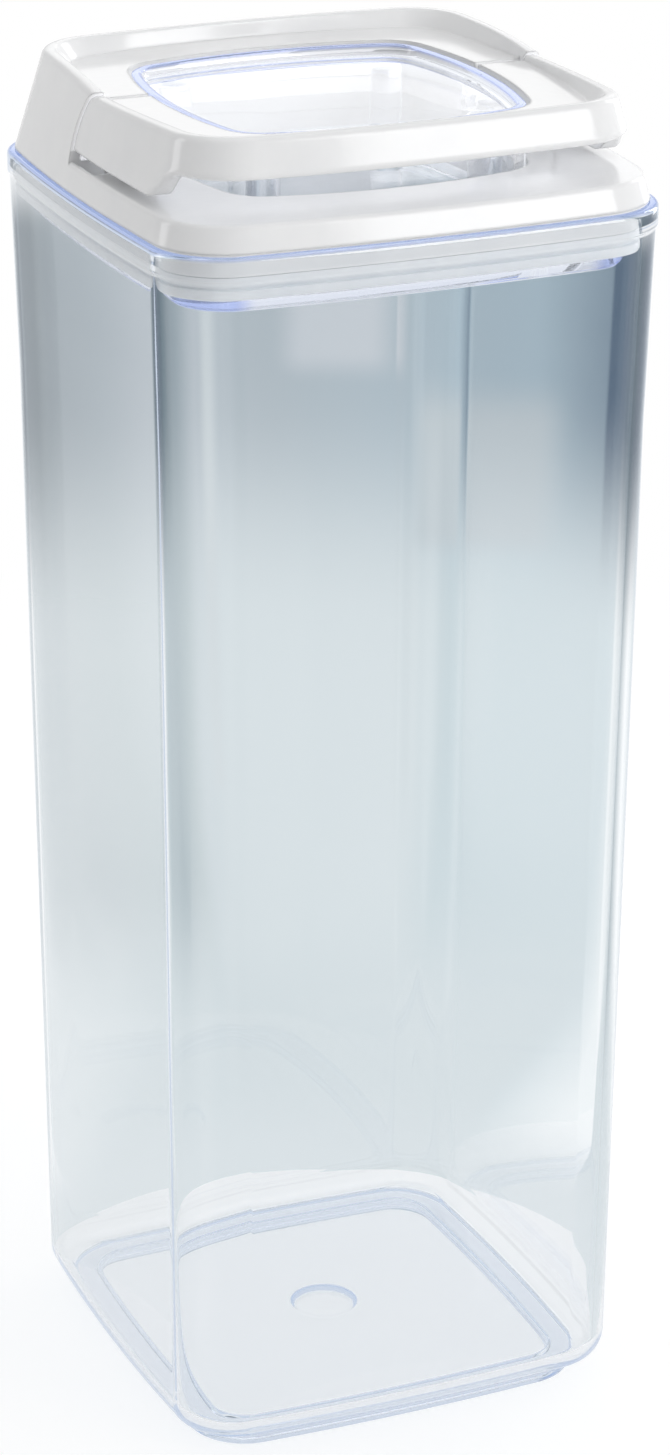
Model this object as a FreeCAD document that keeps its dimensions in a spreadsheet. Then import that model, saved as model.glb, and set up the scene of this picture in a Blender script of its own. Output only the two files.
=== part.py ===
import FreeCAD, Part
import math
import os
import Sketcher
from FreeCAD import Placement, Rotation, Vector

os.makedirs("parts", exist_ok=True)
doc = FreeCAD.newDocument("food_canister")

# Driving dimensions in millimetres and degrees
DIMENSIONS = [
    # canister
    ("canister_height", "235"),
    ("foot_height", "3.2"),
    ("foot_half", "40.6"),
    ("foot_inner_half", "36.2"),
    ("foot_corner", "11.6"),
    ("foot_inner_corner", "7.4"),
    ("wall_half_low", "46.03"),
    ("flare_start", "195"),
    ("wall_half_high", "47.83"),
    ("bead_start", "231"),
    ("rim_half", "48.7"),
    ("bead_half", "49.05"),
    ("wall_corner_share", "0.277"),
    ("wall_side_share", "10.9"),
    ("wall_side", "530"),
    ("wall_thick", "2.2"),
    ("floor_top", "5.4"),
    ("lower_edge_round", "5.4"),
    ("inner_edge_round", "3.6"),
    ("rim_round", "1"),
    ("dimple_radius", "6.6"),
    ("dimple_depth", "1.1"),
    # lid base, the plug ring under the lid
    ("plug_bottom", "231.3"),
    ("plug_half", "45.9"),
    ("plug_corner", "11"),
    ("ledge_half", "47.4"),
    ("ledge_corner", "12.6"),
    ("collar_half", "40.4"),
    ("collar_corner", "9.4"),
    ("collar_top", "237"),
    # lid cover, the white frame
    ("cover_bottom", "235.4"),
    ("cover_half_low", "48.1"),
    ("lid_corner_share", "0.279"),
    ("lid_side_share", "8.7"),
    ("crest_height", "254"),
    ("crest_half", "43.3"),
    ("crest_round", "1.4"),
    ("crest_spare", "1"),
    ("crest_bend", "185"),
    ("bend_start", "25"),
    ("bend_end", "-4"),
    ("deck_top", "240"),
    ("deck_round", "0.9"),
    ("lip_round", "0.4"),
    ("hollow_half", "40.6"),
    ("hollow_corner", "9.6"),
    ("frame_wall", "2.2"),
    ("recess_floor", "251"),
    ("floor_under", "249"),
    ("recess_half_low", "40.9"),
    ("recess_corner_low", "8.5"),
    ("recess_side_low", "140"),
    ("recess_half_top", "41.3"),
    ("recess_corner_top", "10.6"),
    ("opening_half", "32"),
    ("opening_corner", "8.6"),
    ("opening_side", "95"),
    ("deck_hole_half", "31.8"),
    ("deck_hole_corner", "8.4"),
    ("floor_seam", "5.7"),
    ("seam_front", "-8"),
    ("notch_inner", "28"),
    ("notch_outer", "35.8"),
    ("notch_room", "0.4"),
    ("pin_notch_inner", "35"),
    ("pin_notch_outer", "41"),
    ("pin_notch_front", "0.4"),
    ("pin_notch_back", "4.9"),
    ("clear_out", "70"),
    ("clear_up", "8"),
    # hinge
    ("hinge_back", "-6.5"),
    ("hinge_height", "243.6"),
    ("handle_knuckle", "12.95"),
    ("cover_knuckle", "13.15"),
    ("ear_inner", "36.6"),
    ("ear_outer", "40.2"),
    ("ear_radius", "4.3"),
    ("pin_radius", "1.2"),
    ("pin_ear_gap", "0.02"),
    ("pin_arm_gap", "0.05"),
    ("pin_inner", "36.8"),
    ("pin_outer", "44.2"),
    ("pin_hole_end", "44.4"),
    ("lift_arm", "9.6"),
    ("lift_radius", "1.3"),
    ("lift_inner", "32.2"),
    ("lift_outer", "43.6"),
    # flip handle
    ("arm_under", "241.5"),
    ("arm_inner", "40.7"),
    ("bar_under", "246.8"),
    ("bar_inner", "42.3"),
    ("handle_round", "0.9"),
    ("handle_inset", "0.5"),
    ("brow_drop", "1.8"),
    ("brow_front", "43"),
    ("brow_rear", "1"),
    ("gap_rear", "27.6"),
    ("gap_front", "33.6"),
    ("gap_round", "5"),
    ("inside_back", "20"),
    ("inside_chamfer", "8"),
    # pocket that takes the knuckle when the handle is up
    ("pocket_inner", "40.3"),
    ("pocket_outer", "46.02"),
    ("pocket_under", "2.45"),
    ("flip_angle", "22"),
    # clear window cup
    ("cup_half", "31.4"),
    ("cup_corner", "8"),
    ("cup_side", "94.4"),
    ("cup_bottom", "229.4"),
    ("cup_rim", "250.7"),
    ("cup_wall", "2"),
    ("pane_under", "247"),
    ("pane_top", "248.9"),
    ("lug_outer", "35.4"),
    ("lug_embed", "4.6"),
    ("lug_front", "-0.9"),
    ("lug_back", "6.2"),
    ("lug_low", "240.8"),
    ("lug_high", "246.4"),
    ("slot_radius", "1.6"),
    ("slot_travel", "1.1"),
    # clear seal plate
    ("plate_bottom", "224.4"),
    ("plate_top", "227"),
    ("plate_half", "43.6"),
    ("plate_corner", "10.4"),
    ("plate_round", "0.8"),
    ("post_radius", "3"),
    ("post_place", "21"),
    # silicone gasket
    ("gasket_half", "46"),
    ("gasket_corner", "11"),
    ("gasket_inner_half", "40.8"),
    ("gasket_inner_corner", "7.5"),
    ("gasket_groove", "0.7"),
    ("groove_low", "228.9"),
    ("groove_high", "229.4"),
]

sheet = doc.addObject("Spreadsheet::Sheet", "Dimensions")


def slope_formula(at):
    """Half width of the sloping lid wall at a named height."""
    share = "(%s - cover_bottom) / (crest_height - cover_bottom)" % at
    return "=cover_half_low + (crest_half - cover_half_low) * %s" % share


# Outlines that share one shape are scaled from their half width
DERIVED = [
    ("flange_half", "=cover_half_low"),
    ("wall_half_in", "=wall_half_low - wall_thick"),
    ("wall_in_corner", "=wall_half_low * wall_corner_share - wall_thick"),
    ("wall_in_side", "=wall_half_low * wall_side_share - wall_thick"),
    ("peak_height", "=crest_height + crest_spare"),
    ("arm_half", slope_formula("arm_under") + " - handle_inset"),
    ("brow_half", slope_formula("peak_height") + " - handle_inset"),
    ("peak_half", slope_formula("peak_height")),
    ("deck_half", slope_formula("deck_top")),
    ("under_half", slope_formula("floor_under")),
]
for share, names in (
        ("wall", ("wall_low", "wall_high", "rim", "bead")),
        ("lid", ("flange", "arm", "deck", "under", "crest", "peak", "brow"))):
    for name in names:
        half = {"wall_low": "wall_half_low", "wall_high": "wall_half_high"}.get(name, name + "_half")
        DERIVED.append((name + "_corner", "=%s * %s_corner_share" % (half, share)))
        DERIVED.append((name + "_side", "=%s * %s_side_share" % (half, share)))

for row, (alias, number) in enumerate(DIMENSIONS + DERIVED, start=1):
    sheet.set("A%d" % row, alias)
    sheet.set("B%d" % row, number)
    sheet.setAlias("B%d" % row, alias)
    doc.recompute()


def size(alias):
    """Number held under a name in the sheet."""
    return float(sheet.get(alias))


def ref(alias):
    """Expression that reads a name in the sheet."""
    return "Dimensions." + alias


def plane(body, role):
    """One of the body's own origin planes."""
    for feature in body.Origin.OriginFeatures:
        if feature.Role == role:
            return feature
    raise ValueError(role)


def new_body(label):
    body = doc.addObject("PartDesign::Body", label)
    body.Label = label
    return body


def new_sketch(body, name, role, lift=None):
    """Sketch on an origin plane, moved along its normal by an expression."""
    sketch = body.newObject("Sketcher::SketchObject", name)
    sketch.AttachmentSupport = [(plane(body, role), "")]
    sketch.MapMode = "FlatFace"
    if lift is not None:
        sketch.setExpression("AttachmentOffset.Base.z", lift)
    doc.recompute()
    return sketch


def hold(sketch, constraint, expression=None):
    """Add a constraint and drive its value from the sheet."""
    index = sketch.addConstraint(constraint)
    if expression is not None:
        sketch.setExpression("Constraints[%d]" % index, expression)
    return index


def bowed_square(body, name, lift, half, corner, side, less=None):
    """Square outline with bowed sides and round corners, shrunk by (value, expression) if asked."""
    sketch = new_sketch(body, name, "XY_Plane", lift)
    draw_bowed_square(sketch, half, corner, side, less)
    doc.recompute()
    return sketch


def draw_bowed_square(sketch, half, corner, side, less=None):
    shrink = less[0] if less else 0.0
    minus = " - (" + less[1] + ")" if less else ""
    h = size(half) - shrink
    r = size(corner) - shrink
    s = size(side) - shrink
    k = h - s
    c = (k + math.sqrt(2.0 * (s - r) ** 2 - k * k)) / 2.0
    spread = math.atan2(c, c - k)
    normal = Vector(0, 0, 1)
    ids = []
    for quarter in range(4):
        turn = quarter * math.pi / 2.0
        side_centre = Vector(k * math.cos(turn), k * math.sin(turn), 0)
        side_arc = Part.ArcOfCircle(Part.Circle(side_centre, normal, s), turn - spread, turn + spread)
        ids.append(sketch.addGeometry(side_arc, False))
        corner_centre = Vector(c * math.sqrt(2) * math.cos(turn + math.pi / 4),
                               c * math.sqrt(2) * math.sin(turn + math.pi / 4), 0)
        corner_arc = Part.ArcOfCircle(Part.Circle(corner_centre, normal, r),
                                      turn + spread, turn + math.pi / 2 - spread)
        ids.append(sketch.addGeometry(corner_arc, False))
    for here, after in zip(ids, ids[1:] + ids[:1]):
        sketch.addConstraint(Sketcher.Constraint("Tangent", here, 2, after, 1))
    sides = ids[0::2]
    corners = ids[1::2]
    for arc, axis in zip(sides, (-1, -2, -1, -2)):
        sketch.addConstraint(Sketcher.Constraint("PointOnObject", arc, 3, axis))
    for arc in sides[1:]:
        sketch.addConstraint(Sketcher.Constraint("Equal", sides[0], arc))
    for arc in corners[1:]:
        sketch.addConstraint(Sketcher.Constraint("Equal", corners[0], arc))
    hold(sketch, Sketcher.Constraint("Radius", sides[0], s), ref(side) + minus)
    hold(sketch, Sketcher.Constraint("Radius", corners[0], r), ref(corner) + minus)
    reach = ref(side) + " - " + ref(half)
    hold(sketch, Sketcher.Constraint("DistanceX", sides[0], 3, -1, 1, s - h), reach)
    hold(sketch, Sketcher.Constraint("DistanceY", sides[1], 3, -1, 1, s - h), reach)
    hold(sketch, Sketcher.Constraint("DistanceX", -1, 1, sides[2], 3, s - h), reach)
    hold(sketch, Sketcher.Constraint("DistanceY", -1, 1, sides[3], 3, s - h), reach)


def draw_loop(sketch, points):
    """Closed loop of straight lines through the points; returns the line numbers."""
    ids = []
    for start, end in zip(points, points[1:] + points[:1]):
        line = Part.LineSegment(Vector(start[0], start[1], 0), Vector(end[0], end[1], 0))
        ids.append(sketch.addGeometry(line, False))
    for here, after in zip(ids, ids[1:] + ids[:1]):
        sketch.addConstraint(Sketcher.Constraint("Coincident", here, 2, after, 1))
    return ids


def pin_point(sketch, line, end, x, y, x_expression, y_expression):
    """Fix a point of a sketch at a place given by two expressions."""
    for kind, value, expression in (("DistanceX", x, x_expression), ("DistanceY", y, y_expression)):
        if abs(value) < 1e-9:
            axis = -2 if kind == "DistanceX" else -1
            sketch.addConstraint(Sketcher.Constraint("PointOnObject", line, end, axis))
        elif value > 0:
            hold(sketch, Sketcher.Constraint(kind, -1, 1, line, end, value), expression)
        else:
            hold(sketch, Sketcher.Constraint(kind, line, end, -1, 1, -value), "-(" + expression + ")")


def polygon(sketch, corners):
    """Closed loop whose corners are (x, y, x expression, y expression)."""
    ids = draw_loop(sketch, [(x, y) for x, y, _, _ in corners])
    for line, (x, y, x_expression, y_expression) in zip(ids, corners):
        pin_point(sketch, line, 1, x, y, x_expression, y_expression)
    return ids


def box_outline(sketch, left, right, low, high):
    """Rectangle whose four sides are given as (value, expression)."""
    polygon(sketch, [
        (left[0], low[0], left[1], low[1]),
        (right[0], low[0], right[1], low[1]),
        (right[0], high[0], right[1], high[1]),
        (left[0], high[0], left[1], high[1]),
    ])


def given(alias, factor=1.0):
    """Value and expression of a sheet name, for the outline helpers."""
    if factor == 1.0:
        return size(alias), ref(alias)
    return size(alias) * factor, "%g * %s" % (factor, ref(alias))


def loft(body, kind, name, sections, smooth=False):
    feature = body.newObject("PartDesign::" + kind, name)
    feature.Profile = sections[0]
    feature.Sections = sections[1:]
    feature.Ruled = not smooth
    doc.recompute()
    return feature


def pad(body, name, sketch, length, backward=False):
    feature = body.newObject("PartDesign::Pad", name)
    feature.Profile = sketch
    feature.setExpression("Length", length)
    feature.Reversed = backward
    doc.recompute()
    return feature


def pocket(body, name, sketch, length, backward=False, both_ways=False):
    before = body.Shape.Volume
    feature = body.newObject("PartDesign::Pocket", name)
    feature.Profile = sketch
    if both_ways:
        feature.SideType = "Symmetric"
    feature.setExpression("Length", length)
    feature.Reversed = backward
    doc.recompute()
    if not body.Shape.Volume < before - 1e-3:
        raise RuntimeError("nothing cut by " + name)
    return feature


def mirror_across(body, name, feature):
    """Repeat a feature on the other side of the mid plane."""
    mirrored = body.newObject("PartDesign::Mirrored", name)
    mirrored.Originals = [feature]
    mirrored.MirrorPlane = (plane(body, "YZ_Plane"), [""])
    body.Tip = mirrored
    doc.recompute()
    return mirrored


def edges_where(shape, test):
    """Names of the edges whose centre and box pass a test."""
    names = []
    for number, edge in enumerate(shape.Edges, start=1):
        if test(edge.BoundBox, edge.CenterOfMass):
            names.append("Edge%d" % number)
    return names


def round_edges(body, name, radius, test):
    base = body.Tip
    names = edges_where(base.Shape, test)
    if not names:
        raise RuntimeError("no edges found for " + name)
    feature = body.newObject("PartDesign::Fillet", name)
    feature.Base = (base, names)
    feature.setExpression("Radius", ref(radius))
    doc.recompute()
    return feature


def level(box, height):
    return abs(box.ZMin - height) < 0.01 and abs(box.ZMax - height) < 0.01


def outside(mid):
    """True for an edge that runs round the outside of the lid, not across it."""
    return abs(mid.x) > size("opening_half") or mid.y < -size("opening_half")


def inner_lip(mid):
    """True for the front or rear edge of the recess, not of the wall outside it."""
    return abs(mid.x) < 1.0 and size("opening_half") < abs(mid.y) < size("recess_half_top") + 0.1


def edge_outlines(body, name, half, corner, side, level_name, radius, steps=6):
    """Outlines of a rounded lower edge, from its flat underside up to the upright wall."""
    outlines = []
    for step in range(steps + 1):
        angle = 90.0 * step / steps
        turn = math.radians(angle)
        less = (size(radius) * (1.0 - math.sin(turn)), "%s * (1 - sin(%g deg))" % (ref(radius), angle))
        lift = "%s + %s * (1 - cos(%g deg))" % (ref(level_name), ref(radius), angle)
        outlines.append(bowed_square(body, "%s_%d" % (name, step), lift, half, corner, side, less))
    return outlines


# Canister: tapered clear wall, flared rim, inset foot
canister = new_body("canister")
foot_edge = edge_outlines(canister, "lower_edge", "wall_half_low", "wall_low_corner", "wall_low_side",
                          "foot_height", "lower_edge_round")
loft(canister, "AdditiveLoft", "lower_edge", foot_edge, smooth=True)
wall = foot_edge[-1:] + [
    bowed_square(canister, "wall_high", ref("flare_start"), "wall_half_high", "wall_high_corner",
                 "wall_high_side"),
    bowed_square(canister, "wall_flare", ref("bead_start"), "rim_half", "rim_corner", "rim_side"),
]
loft(canister, "AdditiveLoft", "outer_wall", wall)
rim_sketch = bowed_square(canister, "rim_outline", ref("bead_start"), "bead_half", "bead_corner", "bead_side")
pad(canister, "rim_bead", rim_sketch, ref("canister_height") + " - " + ref("bead_start"))
round_edges(canister, "rim_edge", "rim_round", lambda box, mid: level(box, size("canister_height")))
foot_sketch = new_sketch(canister, "foot_outline", "XY_Plane")
draw_bowed_square(foot_sketch, "foot_half", "foot_corner", "wall_side")
draw_bowed_square(foot_sketch, "foot_inner_half", "foot_inner_corner", "wall_side")
doc.recompute()
pad(canister, "foot_ring", foot_sketch, ref("foot_height") + " + 0.3")
inward = (size("wall_thick"), ref("wall_thick"))
floor_edge = edge_outlines(canister, "inner_edge", "wall_half_in", "wall_in_corner", "wall_in_side",
                           "floor_top", "inner_edge_round")
loft(canister, "SubtractiveLoft", "cavity_floor", floor_edge, smooth=True)
cavity = floor_edge[-1:] + [
    bowed_square(canister, "cavity_high", ref("flare_start"), "wall_half_high", "wall_high_corner",
                 "wall_high_side", inward),
    bowed_square(canister, "cavity_flare", ref("bead_start"), "rim_half", "rim_corner", "rim_side", inward),
    bowed_square(canister, "cavity_mouth", ref("canister_height"), "rim_half", "rim_corner", "rim_side",
                 inward),
]
loft(canister, "SubtractiveLoft", "cavity", cavity)

# Shallow round sprue dimple under the floor
dimple_sketch = new_sketch(canister, "dimple_outline", "XY_Plane", ref("foot_height"))
dimple_ring = dimple_sketch.addGeometry(Part.Circle(Vector(0, 0, 0), Vector(0, 0, 1), size("dimple_radius")))
dimple_sketch.addConstraint(Sketcher.Constraint("Coincident", dimple_ring, 3, -1, 1))
hold(dimple_sketch, Sketcher.Constraint("Radius", dimple_ring, size("dimple_radius")), ref("dimple_radius"))
pocket(canister, "dimple", dimple_sketch, ref("dimple_depth"), backward=True)


def frame_wall(body, start, low_outline, top_outline):
    """Sloping outer wall of the lid frame, from a start height to a little over its crest."""
    low = bowed_square(body, "frame_low", ref(start), low_outline + "_half", low_outline + "_corner",
                       low_outline + "_side")
    top = bowed_square(body, "frame_top", ref("peak_height"), top_outline + "_half", top_outline + "_corner",
                       top_outline + "_side")
    loft(body, "AdditiveLoft", "frame", [low, top])


def cut_rear_crest(body):
    """Crest of the fixed half: level at the back, bending down towards the seam."""
    sketch = new_sketch(body, "crest_outline", "YZ_Plane")
    far = size("clear_out")
    top = size("crest_height")
    high = top + size("clear_up")
    begin_y = size("bend_start")
    end_y = size("bend_end")
    bow = size("crest_bend")
    turn = math.asin((begin_y - end_y) / bow)
    end_z = top - bow * (1.0 - math.cos(turn))
    up = math.pi / 2
    bend_arc = sketch.addGeometry(Part.ArcOfCircle(
        Part.Circle(Vector(begin_y, top - bow, 0), Vector(0, 0, 1), bow), up, up + turn), False)
    chain = [(end_y, end_z), (end_y, high), (far, high), (far, top), (begin_y, top)]
    ids = []
    for start, end in zip(chain, chain[1:]):
        ids.append(sketch.addGeometry(Part.LineSegment(
            Vector(start[0], start[1], 0), Vector(end[0], end[1], 0)), False))
    for here, after in zip(ids, ids[1:]):
        sketch.addConstraint(Sketcher.Constraint("Coincident", here, 2, after, 1))
    sketch.addConstraint(Sketcher.Constraint("Coincident", bend_arc, 2, ids[0], 1))
    sketch.addConstraint(Sketcher.Constraint("Coincident", ids[-1], 2, bend_arc, 1))
    for line, kind in zip(ids, ("Vertical", "Horizontal", "Vertical", "Horizontal")):
        sketch.addConstraint(Sketcher.Constraint(kind, line))
    sketch.addConstraint(Sketcher.Constraint("Vertical", bend_arc, 3, bend_arc, 1))
    hold(sketch, Sketcher.Constraint("Radius", bend_arc, bow), ref("crest_bend"))
    hold(sketch, Sketcher.Constraint("DistanceX", -1, 1, bend_arc, 1, begin_y), ref("bend_start"))
    hold(sketch, Sketcher.Constraint("DistanceY", -1, 1, bend_arc, 1, top), ref("crest_height"))
    hold(sketch, Sketcher.Constraint("DistanceX", bend_arc, 2, -1, 1, -end_y), "-" + ref("bend_end"))
    hold(sketch, Sketcher.Constraint("DistanceX", -1, 1, ids[2], 1, far), ref("clear_out"))
    hold(sketch, Sketcher.Constraint("DistanceY", -1, 1, ids[1], 1, high),
         ref("crest_height") + " + " + ref("clear_up"))
    doc.recompute()
    pocket(body, "crest_cut", sketch, "3 * " + ref("clear_out"), both_ways=True)
    round_edges(body, "crest_edge", "crest_round",
                lambda box, mid: level(box, size("crest_height")) and mid.y > size("recess_half_top"))


def cut_front_crest(body):
    """Crest of the flipping half: one plane that falls from the front bar to the seam."""
    sketch = new_sketch(body, "crest_outline", "YZ_Plane")
    far = size("clear_out")
    fall = size("brow_drop") / (size("brow_front") + size("brow_rear"))
    fall_text = "%s / (%s + %s)" % (ref("brow_drop"), ref("brow_front"), ref("brow_rear"))
    high = size("crest_height") + size("clear_up")
    high_text = ref("crest_height") + " + " + ref("clear_up")
    corners = []
    for turn in (-1.0, 1.0):
        along = "%g * %s" % (turn, ref("clear_out"))
        corners.append((turn * far, size("crest_height") - fall * (turn * far + size("brow_front")), along,
                        "%s - %s * (%s + %s)" % (ref("crest_height"), fall_text, along, ref("brow_front"))))
    corners.append((far, high, ref("clear_out"), high_text))
    corners.append((-far, high, "-" + ref("clear_out"), high_text))
    polygon(sketch, corners)
    doc.recompute()
    pocket(body, "crest_cut", sketch, "3 * " + ref("clear_out"), both_ways=True)
    round_edges(body, "crest_edge", "crest_round",
                lambda box, mid: mid.z > size("recess_floor") and mid.y < -size("recess_half_top"))


def knuckle_cut(body, name, radius, keep_rear):
    """Side profile that parts the frame along an arc round the hinge line."""
    sketch = new_sketch(body, name + "_outline", "YZ_Plane")
    hy = size("hinge_back")
    hz = size("hinge_height")
    r = size(radius)
    far = size("clear_out")
    spare = size("clear_up")
    high = size("crest_height") + spare
    if keep_rear:
        low = size("deck_top")
        begin = -math.asin((hz - low) / r)
    else:
        low = hz - r
        begin = -math.pi / 2
    arc = sketch.addGeometry(Part.ArcOfCircle(
        Part.Circle(Vector(hy, hz, 0), Vector(0, 0, 1), r), begin, math.pi / 2), False)
    foot_y = hy + r * math.cos(begin)
    if keep_rear:
        chain = [(hy, hz + r), (hy, high), (-far, high), (-far, low), (foot_y, low)]
    else:
        chain = [(hy, hz + r), (hy, high), (far, high), (far, low - spare), (hy, low - spare), (hy, low)]
    ids = []
    for start, end in zip(chain, chain[1:]):
        ids.append(sketch.addGeometry(Part.LineSegment(
            Vector(start[0], start[1], 0), Vector(end[0], end[1], 0)), False))
    for here, after in zip(ids, ids[1:]):
        sketch.addConstraint(Sketcher.Constraint("Coincident", here, 2, after, 1))
    sketch.addConstraint(Sketcher.Constraint("Coincident", arc, 2, ids[0], 1))
    sketch.addConstraint(Sketcher.Constraint("Coincident", ids[-1], 2, arc, 1))
    hold(sketch, Sketcher.Constraint("Radius", arc, r), ref(radius))
    pin_point(sketch, arc, 3, hy, hz, ref("hinge_back"), ref("hinge_height"))
    sketch.addConstraint(Sketcher.Constraint("Vertical", arc, 3, arc, 2))
    for line, (start, end) in zip(ids, zip(chain, chain[1:])):
        upright = abs(start[0] - end[0]) < 1e-9
        sketch.addConstraint(Sketcher.Constraint("Vertical" if upright else "Horizontal", line))
    hold(sketch, Sketcher.Constraint("DistanceY", -1, 1, ids[0], 2, high),
         ref("crest_height") + " + " + ref("clear_up"))
    if keep_rear:
        hold(sketch, Sketcher.Constraint("DistanceX", ids[2], 1, -1, 1, far), ref("clear_out"))
        hold(sketch, Sketcher.Constraint("DistanceY", -1, 1, ids[2], 2, low), ref("deck_top"))
    else:
        hold(sketch, Sketcher.Constraint("DistanceX", -1, 1, ids[2], 1, far), ref("clear_out"))
        hold(sketch, Sketcher.Constraint("DistanceY", -1, 1, ids[2], 2, low - spare),
             "%s - %s - %s" % (ref("hinge_height"), ref(radius), ref("clear_up")))
    doc.recompute()
    pocket(body, name, sketch, "3 * " + ref("clear_out"), both_ways=True)


def cut_recess(body):
    """Raised rim round the top: the shallow recess with bowed foot."""
    low = bowed_square(body, "recess_low", ref("recess_floor"), "recess_half_low", "recess_corner_low",
                       "recess_side_low")
    top = bowed_square(body, "recess_top", ref("crest_height") + " + 0.2", "recess_half_top",
                       "recess_corner_top", "crest_side")
    loft(body, "SubtractiveLoft", "recess", [low, top])
    round_edges(body, "lip", "lip_round",
                lambda box, mid: mid.z > size("recess_floor") + 1.0 and inner_lip(mid))


def cut_opening(body):
    sketch = bowed_square(body, "opening_outline", ref("recess_floor") + " + 0.5", "opening_half",
                          "opening_corner", "opening_side")
    pocket(body, "opening", sketch, "%s - %s + 1" % (ref("recess_floor"), ref("floor_under")))


# Lid cover: flange, deck and the fixed rear half of the raised frame
lid_cover = new_body("lid_cover")
frame_wall(lid_cover, "cover_bottom", "flange", "peak")
knuckle_cut(lid_cover, "front_cut", "cover_knuckle", True)
cut_rear_crest(lid_cover)
round_edges(lid_cover, "deck_edge", "deck_round",
            lambda box, mid: level(box, size("deck_top")) and outside(mid))
cut_recess(lid_cover)
under_sketch = bowed_square(lid_cover, "flange_hollow_outline", ref("cover_bottom"), "hollow_half",
                            "hollow_corner", "flange_side")
pocket(lid_cover, "flange_hollow", under_sketch, "%s - %s" % (ref("collar_top"), ref("cover_bottom")),
       backward=True)
wall_in = (size("frame_wall"), ref("frame_wall"))
rear_hollow = [
    bowed_square(lid_cover, "rear_hollow_low", ref("deck_top"), "deck_half", "deck_corner", "deck_side",
                 wall_in),
    bowed_square(lid_cover, "rear_hollow_top", ref("floor_under"), "under_half", "under_corner", "under_side",
                 wall_in),
]
loft(lid_cover, "SubtractiveLoft", "rear_hollow", rear_hollow)
cut_opening(lid_cover)
deck_hole = bowed_square(lid_cover, "deck_hole_outline", ref("deck_top") + " + 0.5", "deck_hole_half",
                         "deck_hole_corner", "opening_side")
pocket(lid_cover, "deck_hole", deck_hole, "%s - %s + 1" % (ref("deck_top"), ref("collar_top")))

# The fixed recess floor stops short of the handle's floor
seam_sketch = new_sketch(lid_cover, "floor_seam_outline", "XY_Plane", ref("crest_height") + " + 1")
box_outline(seam_sketch, given("recess_half_low", -1.0), given("recess_half_low"), given("seam_front"),
            given("floor_seam"))
pocket(lid_cover, "floor_seam_cut", seam_sketch, "%s - %s + 2" % (ref("crest_height"), ref("floor_under")))

# Hinge ears standing on the deck, with the pin holes
ear_sketch = new_sketch(lid_cover, "ear_outline", "YZ_Plane", ref("ear_outer"))
ear_y = size("hinge_back")
ear_z = size("hinge_height")
ear_r = size("ear_radius")
ear_foot = size("deck_top") - 0.5
ear_arc = ear_sketch.addGeometry(Part.ArcOfCircle(
    Part.Circle(Vector(ear_y, ear_z, 0), Vector(0, 0, 1), ear_r), 0.0, math.pi), False)
ear_points = [
    (ear_y - ear_r, ear_z),
    (ear_y - ear_r, ear_foot),
    (ear_y + ear_r, ear_foot),
    (ear_y + ear_r, ear_z),
]
ear_lines = [ear_sketch.addGeometry(Part.LineSegment(Vector(a[0], a[1], 0), Vector(b[0], b[1], 0)), False)
             for a, b in zip(ear_points, ear_points[1:])]
ear_sketch.addConstraint(Sketcher.Constraint("Coincident", ear_arc, 2, ear_lines[0], 1))
ear_sketch.addConstraint(Sketcher.Constraint("Coincident", ear_lines[0], 2, ear_lines[1], 1))
ear_sketch.addConstraint(Sketcher.Constraint("Coincident", ear_lines[1], 2, ear_lines[2], 1))
ear_sketch.addConstraint(Sketcher.Constraint("Coincident", ear_lines[2], 2, ear_arc, 1))
ear_sketch.addConstraint(Sketcher.Constraint("Vertical", ear_lines[0]))
ear_sketch.addConstraint(Sketcher.Constraint("Vertical", ear_lines[2]))
ear_sketch.addConstraint(Sketcher.Constraint("Horizontal", ear_lines[1]))
ear_sketch.addConstraint(Sketcher.Constraint("Horizontal", ear_arc, 1, ear_arc, 2))
ear_sketch.addConstraint(Sketcher.Constraint("Horizontal", ear_arc, 1, ear_arc, 3))
hold(ear_sketch, Sketcher.Constraint("Radius", ear_arc, ear_r), ref("ear_radius"))
pin_point(ear_sketch, ear_arc, 3, ear_y, ear_z, ref("hinge_back"), ref("hinge_height"))
hold(ear_sketch, Sketcher.Constraint("DistanceY", -1, 1, ear_lines[1], 1, ear_foot),
     ref("deck_top") + " - 0.5")
ear_hole = ear_sketch.addGeometry(Part.Circle(
    Vector(ear_y, ear_z, 0), Vector(0, 0, 1), size("pin_radius") + size("pin_ear_gap")), False)
ear_sketch.addConstraint(Sketcher.Constraint("Coincident", ear_hole, 3, ear_arc, 3))
hold(ear_sketch, Sketcher.Constraint("Radius", ear_hole, size("pin_radius") + size("pin_ear_gap")),
     ref("pin_radius") + " + " + ref("pin_ear_gap"))
doc.recompute()
ear = pad(lid_cover, "ear", ear_sketch, "%s - %s" % (ref("ear_outer"), ref("ear_inner")), backward=True)
mirror_across(lid_cover, "ears", ear)

# Pockets that take the handle's knuckles when it is flipped up
tilt = math.radians(size("flip_angle"))
rear_dir = (math.cos(tilt), -math.sin(tilt))
down_dir = (-math.sin(tilt), -math.cos(tilt))
under = size("pocket_under")
reach = math.sqrt(size("cover_knuckle") ** 2 - under ** 2)
pocket_top = size("deck_top") + 1.0
deep = (ear_y + under * down_dir[0] + reach * rear_dir[0], ear_z + under * down_dir[1] + reach * rear_dir[1])
front_run = (ear_z + under * down_dir[1] - pocket_top) / math.sin(tilt)
front_edge = (ear_y + under * down_dir[0] + front_run * rear_dir[0], pocket_top)
rear_edge = (ear_y + math.sqrt(size("cover_knuckle") ** 2 - (ear_z - pocket_top) ** 2), pocket_top)
pocket_sketch = new_sketch(lid_cover, "knuckle_pocket_outline", "YZ_Plane", ref("pocket_outer"))
slant = pocket_sketch.addGeometry(Part.LineSegment(
    Vector(front_edge[0], front_edge[1], 0), Vector(deep[0], deep[1], 0)), False)
lid_line = pocket_sketch.addGeometry(Part.LineSegment(
    Vector(rear_edge[0], rear_edge[1], 0), Vector(front_edge[0], front_edge[1], 0)), False)
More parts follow.
